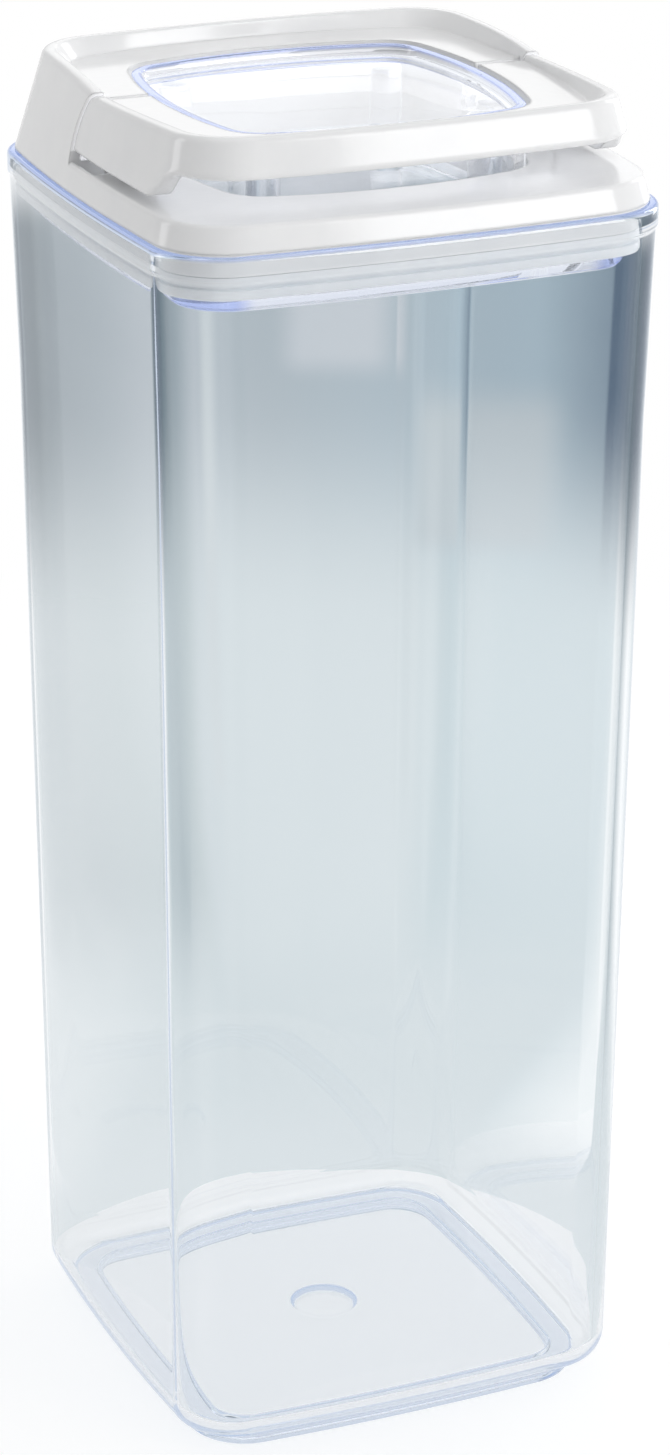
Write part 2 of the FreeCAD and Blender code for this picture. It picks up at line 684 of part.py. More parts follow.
start_angle = math.atan2(deep[1] - ear_z, deep[0] - ear_y)
end_angle = math.atan2(rear_edge[1] - ear_z, rear_edge[0] - ear_y)
swing = Part.Circle(Vector(ear_y, ear_z, 0), Vector(0, 0, 1), size("cover_knuckle"))
sweep = pocket_sketch.addGeometry(Part.ArcOfCircle(swing, start_angle, end_angle), False)
pocket_sketch.addConstraint(Sketcher.Constraint("Coincident", slant, 2, sweep, 1))
pocket_sketch.addConstraint(Sketcher.Constraint("Coincident", sweep, 2, lid_line, 1))
pocket_sketch.addConstraint(Sketcher.Constraint("Coincident", lid_line, 2, slant, 1))
pocket_sketch.addConstraint(Sketcher.Constraint("Horizontal", lid_line))
hold(pocket_sketch, Sketcher.Constraint("Radius", sweep, size("cover_knuckle")), ref("cover_knuckle"))
pin_point(pocket_sketch, sweep, 3, ear_y, ear_z, ref("hinge_back"), ref("hinge_height"))
hold(pocket_sketch, Sketcher.Constraint("DistanceY", -1, 1, lid_line, 1, pocket_top),
     ref("deck_top") + " + 1")
hold(pocket_sketch, Sketcher.Constraint("Distance", sweep, 3, slant, under), ref("pocket_under"))
hold(pocket_sketch, Sketcher.Constraint("Angle", slant, 2, -1, 2, tilt), ref("flip_angle") + " * 1 deg")
doc.recompute()
arm_pocket = pocket(lid_cover, "knuckle_pocket", pocket_sketch,
                    "%s - %s" % (ref("pocket_outer"), ref("pocket_inner")))
mirror_across(lid_cover, "knuckle_pockets", arm_pocket)

# Notches in the deck for the lift pins and the cup's lugs
notch_sketch = new_sketch(lid_cover, "notch_outline", "XY_Plane", ref("deck_top") + " + 1")
for flip in (1.0, -1.0):
    notch_x = sorted([given("notch_inner", flip), given("notch_outer", flip)])
    box_outline(notch_sketch, notch_x[0], notch_x[1],
                (size("lug_front") - size("notch_room"), ref("lug_front") + " - " + ref("notch_room")),
                (size("lug_back") + size("notch_room"), ref("lug_back") + " + " + ref("notch_room")))
pocket(lid_cover, "lug_notch", notch_sketch, "%s - %s + 1" % (ref("deck_top"), ref("collar_top")))
slot_sketch = new_sketch(lid_cover, "pin_notch_outline", "XY_Plane", ref("deck_top") + " + 1")
for flip in (1.0, -1.0):
    slot_x = sorted([given("pin_notch_inner", flip), given("pin_notch_outer", flip)])
    box_outline(slot_sketch, slot_x[0], slot_x[1], given("pin_notch_front"), given("pin_notch_back"))
pocket(lid_cover, "pin_notch", slot_sketch, "%s - %s + 1" % (ref("deck_top"), ref("collar_top")))

# Lid base: plug ring that carries the lid on the rim
lid_base = new_body("lid_base")
plug_sketch = bowed_square(lid_base, "plug_outline", ref("plug_bottom"), "plug_half", "plug_corner",
                           "wall_side")
pad(lid_base, "plug", plug_sketch, "%s - %s" % (ref("canister_height"), ref("plug_bottom")))
ledge_sketch = bowed_square(lid_base, "ledge_outline", ref("canister_height"), "ledge_half", "ledge_corner",
                            "wall_side")
pad(lid_base, "ledge", ledge_sketch, "%s - %s" % (ref("cover_bottom"), ref("canister_height")))
collar_sketch = bowed_square(lid_base, "collar_outline", ref("cover_bottom"), "collar_half", "collar_corner",
                             "flange_side")
pad(lid_base, "collar", collar_sketch, "%s - %s" % (ref("collar_top"), ref("cover_bottom")))
base_hole = bowed_square(lid_base, "base_hole_outline", ref("collar_top") + " + 0.5", "deck_hole_half",
                         "deck_hole_corner", "opening_side")
pocket(lid_base, "base_hole", base_hole, "%s - %s + 1" % (ref("collar_top"), ref("plug_bottom")))

# Flip handle: the front half of the raised frame
flip_handle = new_body("flip_handle")
frame_wall(flip_handle, "arm_under", "arm", "brow")
cut_front_crest(flip_handle)
knuckle_cut(flip_handle, "rear_cut", "handle_knuckle", False)
gap_sketch = new_sketch(flip_handle, "finger_gap_outline", "YZ_Plane")
rear_y = -size("gap_rear")
front_y = -size("gap_front")
arm_z = size("arm_under")
bar_z = size("bar_under")
bend = size("gap_round")
slope = math.atan2(bar_z - arm_z, rear_y - front_y)
run = bend * math.tan(slope / 2.0)
rear_flat = (rear_y + run, arm_z)
rear_slant = (rear_y - run * math.cos(slope), arm_z + run * math.sin(slope))
front_slant = (front_y + run * math.cos(slope), bar_z - run * math.sin(slope))
front_flat = (front_y - run, bar_z)
up = math.pi / 2
out = size("clear_out")
floor_z = arm_z - size("clear_up")
gap_shape = [
    gap_sketch.addGeometry(Part.LineSegment(Vector(front_flat[0], bar_z, 0), Vector(-out, bar_z, 0)), False),
    gap_sketch.addGeometry(Part.LineSegment(Vector(-out, bar_z, 0), Vector(-out, floor_z, 0)), False),
    gap_sketch.addGeometry(Part.LineSegment(Vector(-out, floor_z, 0), Vector(rear_flat[0], floor_z, 0)), False),
    gap_sketch.addGeometry(Part.LineSegment(Vector(rear_flat[0], floor_z, 0), Vector(rear_flat[0], arm_z, 0)),
                           False),
    gap_sketch.addGeometry(Part.ArcOfCircle(
        Part.Circle(Vector(rear_flat[0], arm_z + bend, 0), Vector(0, 0, 1), bend), -up - slope, -up), False),
    gap_sketch.addGeometry(Part.LineSegment(Vector(rear_slant[0], rear_slant[1], 0),
                                            Vector(front_slant[0], front_slant[1], 0)), False),
    gap_sketch.addGeometry(Part.ArcOfCircle(
        Part.Circle(Vector(front_flat[0], bar_z - bend, 0), Vector(0, 0, 1), bend), up - slope, up), False),
]
bar_line, front_line, floor_line, step_line, rear_bend, slant_line, front_bend = gap_shape
for here, end, after, begin in ((bar_line, 2, front_line, 1), (front_line, 2, floor_line, 1),
                                (floor_line, 2, step_line, 1), (step_line, 2, rear_bend, 2)):
    gap_sketch.addConstraint(Sketcher.Constraint("Coincident", here, end, after, begin))
gap_sketch.addConstraint(Sketcher.Constraint("Tangent", rear_bend, 1, slant_line, 1))
gap_sketch.addConstraint(Sketcher.Constraint("Tangent", slant_line, 2, front_bend, 1))
gap_sketch.addConstraint(Sketcher.Constraint("Tangent", front_bend, 2, bar_line, 1))
for line in (bar_line, floor_line):
    gap_sketch.addConstraint(Sketcher.Constraint("Horizontal", line))
for line in (front_line, step_line):
    gap_sketch.addConstraint(Sketcher.Constraint("Vertical", line))
gap_sketch.addConstraint(Sketcher.Constraint("Vertical", rear_bend, 3, rear_bend, 2))
gap_sketch.addConstraint(Sketcher.Constraint("Equal", rear_bend, front_bend))
hold(gap_sketch, Sketcher.Constraint("Radius", rear_bend, bend), ref("gap_round"))
hold(gap_sketch, Sketcher.Constraint("DistanceY", -1, 1, rear_bend, 2, arm_z), ref("arm_under"))
hold(gap_sketch, Sketcher.Constraint("DistanceY", -1, 1, bar_line, 2, bar_z), ref("bar_under"))
hold(gap_sketch, Sketcher.Constraint("DistanceX", front_line, 1, -1, 1, out), ref("clear_out"))
hold(gap_sketch, Sketcher.Constraint("DistanceY", floor_line, 2, step_line, 2, arm_z - floor_z), ref("clear_up"))
slope_text = "atan((%s - %s) / (%s - %s))" % (
    ref("bar_under"), ref("arm_under"), ref("gap_front"), ref("gap_rear"))
hold(gap_sketch, Sketcher.Constraint("DistanceX", front_bend, 2, -1, 1, -front_flat[0]),
     "%s + %s * tan(%s / 2)" % (ref("gap_front"), ref("gap_round"), slope_text))
hold(gap_sketch, Sketcher.Constraint("DistanceX", rear_bend, 2, -1, 1, -rear_flat[0]),
     "%s - %s * tan(%s / 2)" % (ref("gap_rear"), ref("gap_round"), slope_text))
doc.recompute()
pocket(flip_handle, "finger_gap", gap_sketch, "3 * " + ref("clear_out"), both_ways=True)
round_edges(flip_handle, "lower_edge", "handle_round",
            lambda box, mid: level(box, size("bar_under")) and mid.y < -size("bar_inner"))
cut_recess(flip_handle)
inside_sketch = new_sketch(flip_handle, "inside_outline", "XY_Plane", ref("floor_under"))
arm_in = size("arm_inner")
bar_in = size("bar_inner")
back = size("inside_back")
slant_in = size("inside_chamfer")
slant_text = ref("inside_chamfer")
polygon(inside_sketch, [
    (arm_in, back, ref("arm_inner"), ref("inside_back")),
    (-arm_in, back, "-" + ref("arm_inner"), ref("inside_back")),
    (-arm_in, slant_in - bar_in, "-" + ref("arm_inner"), slant_text + " - " + ref("bar_inner")),
    (slant_in - arm_in, -bar_in, slant_text + " - " + ref("arm_inner"), "-" + ref("bar_inner")),
    (arm_in - slant_in, -bar_in, ref("arm_inner") + " - " + slant_text, "-" + ref("bar_inner")),
    (arm_in, slant_in - bar_in, ref("arm_inner"), slant_text + " - " + ref("bar_inner")),
])
pocket(flip_handle, "inside", inside_sketch, "2 * " + ref("clear_up"))
cut_opening(flip_handle)

# Hinge holes and lift pin holes in the arms
hole_sketch = new_sketch(flip_handle, "hole_outline", "YZ_Plane", ref("pin_hole_end"))
hinge_hole = hole_sketch.addGeometry(Part.Circle(
    Vector(ear_y, ear_z, 0), Vector(0, 0, 1), size("pin_radius") + size("pin_arm_gap")), False)
pin_point(hole_sketch, hinge_hole, 3, ear_y, ear_z, ref("hinge_back"), ref("hinge_height"))
hold(hole_sketch, Sketcher.Constraint("Radius", hinge_hole, size("pin_radius") + size("pin_arm_gap")),
     ref("pin_radius") + " + " + ref("pin_arm_gap"))
doc.recompute()
hinge_holes = pocket(flip_handle, "hinge_hole", hole_sketch, "6")
mirror_across(flip_handle, "hinge_holes", hinge_holes)
lift_sketch = new_sketch(flip_handle, "lift_hole_outline", "YZ_Plane", ref("lift_outer"))
lift_hole = lift_sketch.addGeometry(Part.Circle(
    Vector(ear_y + size("lift_arm"), ear_z, 0), Vector(0, 0, 1), size("lift_radius") + size("pin_ear_gap")),
    False)
pin_point(lift_sketch, lift_hole, 3, ear_y + size("lift_arm"), ear_z,
          ref("hinge_back") + " + " + ref("lift_arm"), ref("hinge_height"))
hold(lift_sketch, Sketcher.Constraint("Radius", lift_hole, size("lift_radius") + size("pin_ear_gap")),
     ref("lift_radius") + " + " + ref("pin_ear_gap"))
doc.recompute()
lift_holes = pocket(flip_handle, "lift_hole", lift_sketch, "5")
mirror_across(flip_handle, "lift_holes", lift_holes)


def pin_pair(label, inner, outer, radius, back):
    """Two equal round pins, one each side, lying across the lid."""
    pins = []
    for side, turn in (("right", 1.0), ("left", -1.0)):
        pin = doc.addObject("Part::Cylinder", "%s_%s" % (label, side))
        pin.setExpression("Radius", ref(radius))
        pin.setExpression("Height", "%s - %s" % (ref(outer), ref(inner)))
        pin.Placement = Placement(Vector(turn * size(inner), size("hinge_back") + back, size("hinge_height")),
                                  Rotation(Vector(0, 1, 0), 90.0 * turn))
        pins.append(pin)
    pair = doc.addObject("Part::Compound", label)
    pair.Label = label
    pair.Links = pins
    doc.recompute()
    return pair


hinge_pins = pin_pair("hinge_pins", "pin_inner", "pin_outer", "pin_radius", 0.0)
lift_pins = pin_pair("lift_pins", "lift_inner", "lift_outer", "lift_radius", size("lift_arm"))

# Clear window cup: shallow dish on top, skirt down through the deck
window_cup = new_body("window_cup")
cup_sketch = bowed_square(window_cup, "cup_outline", ref("cup_bottom"), "cup_half", "cup_corner", "cup_side")
pad(window_cup, "cup", cup_sketch, "%s - %s" % (ref("cup_rim"), ref("cup_bottom")))
cup_in = (size("cup_wall"), ref("cup_wall"))
skirt_sketch = bowed_square(window_cup, "skirt_outline", ref("cup_bottom"), "cup_half", "cup_corner",
                            "cup_side", cup_in)
pocket(window_cup, "skirt", skirt_sketch, "%s - %s" % (ref("pane_under"), ref("cup_bottom")), backward=True)
dish_sketch = bowed_square(window_cup, "dish_outline", ref("cup_rim"), "cup_half", "cup_corner", "cup_side",
                           cup_in)
pocket(window_cup, "dish", dish_sketch, "%s - %s" % (ref("cup_rim"), ref("pane_top")))
lug_sketch = new_sketch(window_cup, "lug_outline", "YZ_Plane", ref("lug_outer"))
box_outline(lug_sketch, given("lug_front"), given("lug_back"), given("lug_low"), given("lug_high"))
slot_y = size("hinge_back") + size("lift_arm")
slot_r = size("slot_radius")
slot_front = slot_y - size("slot_travel")
slot_shape = [
    lug_sketch.addGeometry(Part.ArcOfCircle(Part.Circle(Vector(slot_y, ear_z, 0), Vector(0, 0, 1), slot_r),
                                            -math.pi / 2, math.pi / 2), False),
    lug_sketch.addGeometry(Part.LineSegment(Vector(slot_y, ear_z + slot_r, 0),
                                            Vector(slot_front, ear_z + slot_r, 0)), False),
    lug_sketch.addGeometry(Part.ArcOfCircle(Part.Circle(Vector(slot_front, ear_z, 0), Vector(0, 0, 1), slot_r),
                                            math.pi / 2, 3 * math.pi / 2), False),
    lug_sketch.addGeometry(Part.LineSegment(Vector(slot_front, ear_z - slot_r, 0),
                                            Vector(slot_y, ear_z - slot_r, 0)), False),
]
for here, after in zip(slot_shape, slot_shape[1:] + slot_shape[:1]):
    lug_sketch.addConstraint(Sketcher.Constraint("Tangent", here, 2, after, 1))
lug_sketch.addConstraint(Sketcher.Constraint("Horizontal", slot_shape[1]))
hold(lug_sketch, Sketcher.Constraint("Radius", slot_shape[0], slot_r), ref("slot_radius"))
pin_point(lug_sketch, slot_shape[0], 3, slot_y, ear_z, ref("hinge_back") + " + " + ref("lift_arm"),
          ref("hinge_height"))
hold(lug_sketch, Sketcher.Constraint("DistanceX", slot_shape[2], 3, slot_shape[0], 3, size("slot_travel")),
     ref("slot_travel"))
doc.recompute()
lug = pad(window_cup, "lug", lug_sketch, ref("lug_embed"), backward=True)
mirror_across(window_cup, "lugs", lug)

# Clear seal plate with four posts that carry the cup
seal_plate = new_body("seal_plate")
plate_sketch = bowed_square(seal_plate, "plate_outline", ref("plate_bottom"), "plate_half", "plate_corner",
                            "wall_side")
pad(seal_plate, "plate", plate_sketch, "%s - %s" % (ref("plate_top"), ref("plate_bottom")))
round_edges(seal_plate, "plate_edge", "plate_round",
            lambda box, mid: level(box, size("plate_bottom")) or level(box, size("plate_top")))
boss_sketch = bowed_square(seal_plate, "boss_outline", ref("plate_top"), "cup_half", "cup_corner", "cup_side")
pad(seal_plate, "boss", boss_sketch, "%s - %s" % (ref("cup_bottom"), ref("plate_top")))
post_sketch = new_sketch(seal_plate, "post_outline", "XY_Plane", ref("plate_top"))
for across in (1.0, -1.0):
    for along in (1.0, -1.0):
        place = size("post_place")
        post = post_sketch.addGeometry(Part.Circle(
            Vector(across * place, along * place, 0), Vector(0, 0, 1), size("post_radius")), False)
        pin_point(post_sketch, post, 3, across * place, along * place,
                  "%g * %s" % (across, ref("post_place")), "%g * %s" % (along, ref("post_place")))
        hold(post_sketch, Sketcher.Constraint("Radius", post, size("post_radius")), ref("post_radius"))
doc.recompute()
pad(seal_plate, "posts", post_sketch, "%s - %s" % (ref("pane_under"), ref("plate_top")))

# Silicone gasket ring with a groove between its two lips
gasket = new_body("gasket")
gasket_sketch = new_sketch(gasket, "gasket_outline", "XY_Plane", ref("plate_top"))
draw_bowed_square(gasket_sketch, "gasket_half", "gasket_corner", "wall_side")
draw_bowed_square(gasket_sketch, "gasket_inner_half", "gasket_inner_corner", "wall_side")
doc.recompute()
pad(gasket, "ring", gasket_sketch, "%s - %s" % (ref("plug_bottom"), ref("plate_top")))
groove_sketch = new_sketch(gasket, "groove_outline", "XY_Plane", ref("groove_high"))
draw_bowed_square(groove_sketch, "gasket_half", "gasket_corner", "wall_side")
draw_bowed_square(groove_sketch, "gasket_half", "gasket_corner", "wall_side",
                  (size("gasket_groove"), ref("gasket_groove")))
doc.recompute()
pocket(gasket, "groove", groove_sketch, "%s - %s" % (ref("groove_high"), ref("groove_low")))

doc.recompute()

# Check every object, then write one file for each piece
PIECES = [canister, lid_cover, lid_base, flip_handle, hinge_pins, lift_pins, window_cup, seal_plate, gasket]
for item in doc.Objects:
    if "Invalid" in item.State or "Error" in item.State:
        raise RuntimeError("%s is in state %s" % (item.Name, item.State))
for piece in PIECES:
    shape = piece.Shape
    if shape.isNull() or not shape.isValid():
        raise RuntimeError("bad shape in " + piece.Label)
    shape.exportStep("parts/%s.step" % piece.Label)
    box = shape.BoundBox
    print("%-12s solids %d volume %9.1f size %6.2f %6.2f %6.2f" % (
        piece.Label, len(shape.Solids), shape.Volume, box.XLength, box.YLength, box.ZLength))
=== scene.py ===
import bpy
import math
from mathutils import Matrix, Vector


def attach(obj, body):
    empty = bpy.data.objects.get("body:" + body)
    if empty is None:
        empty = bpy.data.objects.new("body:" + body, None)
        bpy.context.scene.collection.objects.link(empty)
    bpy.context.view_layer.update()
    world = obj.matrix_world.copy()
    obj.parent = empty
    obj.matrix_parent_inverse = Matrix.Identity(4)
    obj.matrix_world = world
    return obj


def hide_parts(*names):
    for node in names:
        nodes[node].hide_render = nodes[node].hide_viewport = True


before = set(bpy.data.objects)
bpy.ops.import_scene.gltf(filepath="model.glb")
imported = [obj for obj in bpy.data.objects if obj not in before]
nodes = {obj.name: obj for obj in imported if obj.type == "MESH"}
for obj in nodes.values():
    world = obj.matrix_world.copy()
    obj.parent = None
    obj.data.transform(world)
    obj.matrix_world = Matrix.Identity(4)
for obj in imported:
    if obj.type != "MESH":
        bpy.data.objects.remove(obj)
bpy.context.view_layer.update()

# Viewpoint found from the photograph, in degrees, metres and its own pixels
PHOTO_WIDE, PHOTO_TALL = 670, 1455
VIEW_AZIMUTH = -23.196
VIEW_ELEVATION = 22.433
VIEW_ROLL = 0.193
VIEW_DISTANCE = 0.830
VIEW_TARGET = Vector((0.0, 0.0, 0.1164))
FOCAL_PIXELS = 4362.3
CENTRE_PIXEL = (323.98, 781.78)
SENSOR_WIDE = 36.0
CLIP_NEAR, CLIP_FAR = 0.01, 50.0

# Outlines in millimetres: (half width, corner radius, side radius)
MM = 0.001
FOOT_INSIDE = (36.2, 7.4, 530.0)
FOOT_OUTSIDE = (40.6, 11.6, 530.0)
CUP = (31.4, 8.0, 94.4)
PLATE = (43.6, 10.4, 530.0)
GASKET_OUTSIDE = (46.0, 11.0, 530.0)
GASKET_INSIDE = (40.8, 7.5, 530.0)
# Points along each side and round each corner, and the outline that spaces the points of a disc
SIDE_STEPS, CORNER_STEPS = 14, 22
DISC_GUIDE = (36.0, 9.0, 500.0)
# Small disc that closes a piece at its middle, and the angle in degrees up to which faces are smoothed
MIDDLE = 0.5
SMOOTH_UNDER = 40.0

# Canister's wall in millimetres: half widths, corner and side radius as shares of them, then heights
WALL_LOW, WALL_HIGH, RIM, BEAD = 46.03, 47.83, 48.7, 49.02
CORNER_SHARE, SIDE_SHARE = 0.277, 10.9
UNDER_FLOOR, FLOOR_TOP = 3.2, 5.4
WALL_START, INNER_START, FLARE, BEAD_START = 8.6, 9.0, 195.0, 231.0
WALL_THICK = 2.2
LOWER_ROUND, INNER_ROUND, ROUND_STEPS = 5.4, 3.6, 9
FLOOR_EDGE, FLOOR_DISC = 1.2, 18.0
# Shares of the way along the wall and along its flare at which rings are drawn
WALL_SHARES = (0.17, 0.34, 0.5, 0.67, 0.84, 1.0)
FLARE_SHARES, INNER_FLARE_SHARES = (0.33, 0.66, 0.98), (0.5, 1.0)
# Round sprue dimple under the floor: radius and height of each ring
DIMPLE_RINGS = [
    (0.4, 4.30), (2.0, 4.30), (3.4, 4.26), (4.6, 4.16), (5.5, 3.98), (6.1, 3.70), (6.42, 3.42), (6.6, 3.24),
    (6.8, 3.2), (7.4, 3.2),
]
# Bead round the mouth: half width and height of each ring
BEAD_RINGS = [
    (48.78, 230.85), (48.97, 231.02), (BEAD, 231.35), (BEAD, 234.0), (48.92, 234.5), (48.55, 234.87),
    (48.05, 235.0),
]
# Other rings of the canister: how much smaller than the outline, and height
FOOT_INSIDE_RINGS = [(1.6, 3.2), (0.7, 3.2), (0.2, 3.0), (0.0, 2.5), (0.0, 0.6), (-0.18, 0.18), (-0.6, 0.0)]
FOOT_OUTSIDE_RINGS = [(0.6, 0.0), (0.18, 0.18), (0.0, 0.6), (0.0, 2.8)]
MOUTH_RINGS = [(1.8, 235.0), (2.1, 234.9), (WALL_THICK, 234.6), (WALL_THICK, BEAD_START)]

# Window cup in millimetres: dish, then rings as (how much smaller than the outline, height)
DISH_UNDER, DISH_TOP, DISH_DISC = 247.0, 248.9, 15.0
CUP_RINGS = [
    (2.8, DISH_UNDER), (2.23, 246.77), (2.0, 246.2), (2.0, 229.7), (1.9, 229.48), (1.65, 229.4),
    (0.35, 229.4), (0.1, 229.48), (0.0, 229.7), (0.0, 236.0), (0.0, 242.0), (0.0, 250.0), (0.2, 250.5),
    (0.7, 250.7), (1.3, 250.7), (1.8, 250.5), (2.0, 250.0), (2.08, 249.5), (2.4, 249.06), (3.0, DISH_TOP),
]
# Lugs on the cup's sides and the slot through each; a lug is trimmed at its root, inside the cup's wall
LUG_PLACE, LUG_SIZE, LUG_ROOT = (32.7, 2.65, 243.6), (5.4, 7.1, 5.6), 30.6
SLOT_PLACE, SLOT_RADIUS, SLOT_LONG, SLOT_STRETCH, SLOT_SIDES = (33.0, 3.1, 243.6), 1.6, 12.0, 1.1, 32
EDGE_ROUND, EDGE_STEPS = 0.5, 3
# Gap in metres that tells one half of a slot's points from the other
SPLIT_GAP = 1e-6

# Seal plate with its boss and posts, in millimetres: rings as (how much smaller than the outline, height)
PLATE_UNDER, PLATE_DISC, BOSS_TOP, BOSS_DISC = 224.4, 15.0, 229.4, 8.0
PLATE_RINGS = [
    (1.6, PLATE_UNDER), (0.8, PLATE_UNDER), (0.4, 224.51), (0.11, 224.8), (0.0, 225.2), (0.0, 226.7),
    (0.1, 226.92), (0.3, 227.0), (1.0, 227.0),
]
BOSS_RINGS = [
    (-0.6, 227.0), (-0.15, 227.12), (0.0, 227.5), (0.0, 229.1), (0.1, 229.3), (0.4, BOSS_TOP),
    (1.2, BOSS_TOP),
]
POST_OUT, POST_RADIUS, POST_LONG, POST_MIDDLE, POST_SIDES = 21.0, 3.0, 18.6, 237.64, 40
# A face counts as a post's top when its normal's upward part is more than this
TOP_FACING = 0.9

# Gasket's foot, lips and head in millimetres: rings as (how much smaller than the outline, height)
GASKET_FOOT_RINGS = [(0.0, 227.3), (-0.1, 227.08), (-0.3, 227.0)]
GASKET_LIP_RINGS = [
    (0.7, 227.0), (0.2, 227.15), (0.0, 227.6), (0.0, 228.5), (0.2, 228.82), (0.7, 228.95), (0.7, 229.35),
    (0.2, 229.48), (0.0, 229.8), (0.0, 230.7), (0.2, 231.15), (0.7, 231.3),
]
GASKET_HEAD_RINGS = [(-0.3, 231.3), (-0.1, 231.22), (0.0, 231.0)]

WHITE, BLACK = (1.0, 1.0, 1.0, 1.0), (0.0, 0.0, 0.0, 1.0)

# Painted tints of the clear plastic: heights in metres where each sets in and is full, then the colours
CUP_RIM_BLUE, BEAD_BLUE, FOOT_GREY = (0.2499, 0.2505), (0.2343, 0.2348), (0.0031, 0.0022)
PLATE_OVER, PLATE_CORNER = 0.2272, (0.0735, 0.0775)
LID_CLEAR, LID_BLUE = (0.985, 0.988, 0.998, 1.0), (0.32, 0.42, 0.95, 1.0)
BODY_CLEAR, BODY_BLUE = (0.985, 0.992, 0.995, 1.0), (0.42, 0.52, 0.95, 1.0)
BODY_GREY = (0.76, 0.81, 0.90, 1.0)
# Lamp light that a clear wall lets through, and the turns after which a ray shows a painted glow in place
# of the light trapped in the plastic
LAMP_THROUGH = (0.972, 0.976, 0.98, 1.0)
MOST_TURNS, MOST_MIRRORINGS = 9.5, 3.5
CLEAR_RIPPLE = 0.000010

# Hollow inside the lid's frame, in metres, and the painted glow that lightens its inside faces
HOLLOW_LOW, HOLLOW_TOP = 0.2403, 0.2492
HOLLOW_HALF, HOLLOW_LEAN, HOLLOW_FRONT, HOLLOW_ROOF = 0.0448, 0.258, 0.006, 0.2470
HOLLOW_CORNER = 0.072
HINGE_LINE, SEAM_RADIUS, SEAM_HALF_GAP = (-0.0065, 0.2436), 0.01305, 0.00013
SEAM_FRONT, SEAM_LOW, SEAM_SHARE = 0.0, 0.2418, 0.5
PAINTED_INSIDE_GLOW = (0.36, 0.36, 0.37, 1.0)

# Pale floor in metres: it fades to plain white, and glows a little where some kinds of ray meet it
FLOOR_SIZE, FLOOR_HEIGHT, FLOOR_FADE = 12.0, -0.0003, (0.10, 0.45)
FLOOR_PAINT = (0.9, 0.9, 0.9, 1.0)
FLOOR_GLOW = [("Is Glossy Ray", 0.15), ("Is Transmission Ray", 0.15), ("Is Camera Ray", 0.25)]

# Sweep painted with light and shade, seen through the clear walls: its first circle, then each ring's
# radius and rise in metres
CARD_SIDES, CARD_START, CARD_HEIGHT = 128, 0.064, 0.0012
CARD_SWEEP = [
    (0.25, 0.0), (0.29, 0.005), (0.32, 0.018), (0.34, 0.042), (0.35, 0.08), (0.355, 0.15), (0.36, 0.3),
]
# Its shades repeat every quarter turn: the middle of one quarter and half its width, in degrees
CARD_MIDDLE, CARD_HALF = 66.8, 45.0
# Distance plus height in metres, from foot to top, and the share of that where low shades turn into high
CARD_REACH, CARD_CHANGE = (0.06, 0.60), (0.54, 0.71)
# Shades round the quarter for the low and for the high part of the sweep
CARD_LOW = [
    (0.0, (1.04, 1.05, 1.05, 1.0)),
    (0.15, (0.98, 1.0, 1.0, 1.0)),
    (0.27, (0.66, 0.74, 0.77, 1.0)),
    (0.40, (0.60, 0.69, 0.72, 1.0)),
    (0.45, (0.69, 0.75, 0.77, 1.0)),
    (0.55, (0.68, 0.74, 0.76, 1.0)),
    (0.59, (0.63, 0.69, 0.715, 1.0)),
    (0.613, (0.53, 0.60, 0.62, 1.0)),
    (0.66, (0.44, 0.51, 0.54, 1.0)),
    (0.77, (0.46, 0.53, 0.56, 1.0)),
    (1.0, (1.04, 1.05, 1.05, 1.0)),
]
CARD_HIGH = [
    (0.0, (0.06, 0.10, 0.15, 1.0)),
    (0.32, (0.06, 0.11, 0.18, 1.0)),
    (0.39, (0.43, 0.54, 0.61, 1.0)),
    (0.53, (0.47, 0.53, 0.57, 1.0)),
    (0.59, (0.53, 0.58, 0.62, 1.0)),
    (0.613, (0.40, 0.46, 0.50, 1.0)),
    (0.637, (0.30, 0.36, 0.40, 1.0)),
    (0.70, (0.08, 0.13, 0.16, 1.0)),
    (1.0, (0.06, 0.10, 0.15, 1.0)),
]
# Painted panels of light and shade in the high part: left and right edge in degrees, foot and head,
# feather, colour
CARD_PAINTED_PANELS = [
    (68.6, 64.2, 0.722, 0.88, 0.8, (0.62, 0.66, 0.70, 1.0)),
    (62.6, 56.0, 0.60, 0.705, 1.0, (0.56, 0.62, 0.65, 1.0)),
    (73.8, 72.4, 0.40, 0.80, 0.6, (0.66, 0.71, 0.73, 1.0)),
]
PANEL_FOOT_FEATHER, PANEL_HEAD_FEATHER = 0.012, 0.02
# Plain shades at the top, near the floor for part of the quarter, and at the foot: set in, full, colour
CARD_TOP, CARD_TOP_SHADE = (0.83, 0.90), (0.88, 0.89, 0.90, 1.0)
CARD_NEAR, CARD_NEAR_PART, CARD_NEAR_SHADE = (0.32, 0.14), (0.22, 0.28), (0.68, 0.74, 0.76, 1.0)
CARD_FOOT, CARD_FOOT_SHADE = (0.10, 0.02), (0.72, 0.77, 0.79, 1.0)

# Light of the white sky, then soft lamps: name, place, aim, width and height in metres, power in watts
SKY_LIGHT = 0.45
LAMPS = [
    ("overhead_lamp", (0.1, 0.1, 1.35), (0.0, 0.0, 0.2), (1.0, 1.0), 2.4),
    ("front_lamp", (0.75, -1.25, 0.75), (0.0, 0.0, 0.15), (0.7, 0.9), 9.8),
    ("back_lamp", (0.44, 1.02, 0.71), (0.0, 0.0, 0.25), (0.9, 0.5), 0.9),
    ("right_strip", (0.85, 0.35, 0.35), (0.0, 0.0, 0.15), (0.25, 0.9), 3.0),
    ("left_strip", (-0.80, 0.45, 0.35), (0.0, 0.0, 0.15), (0.25, 0.9), 1.5),
]


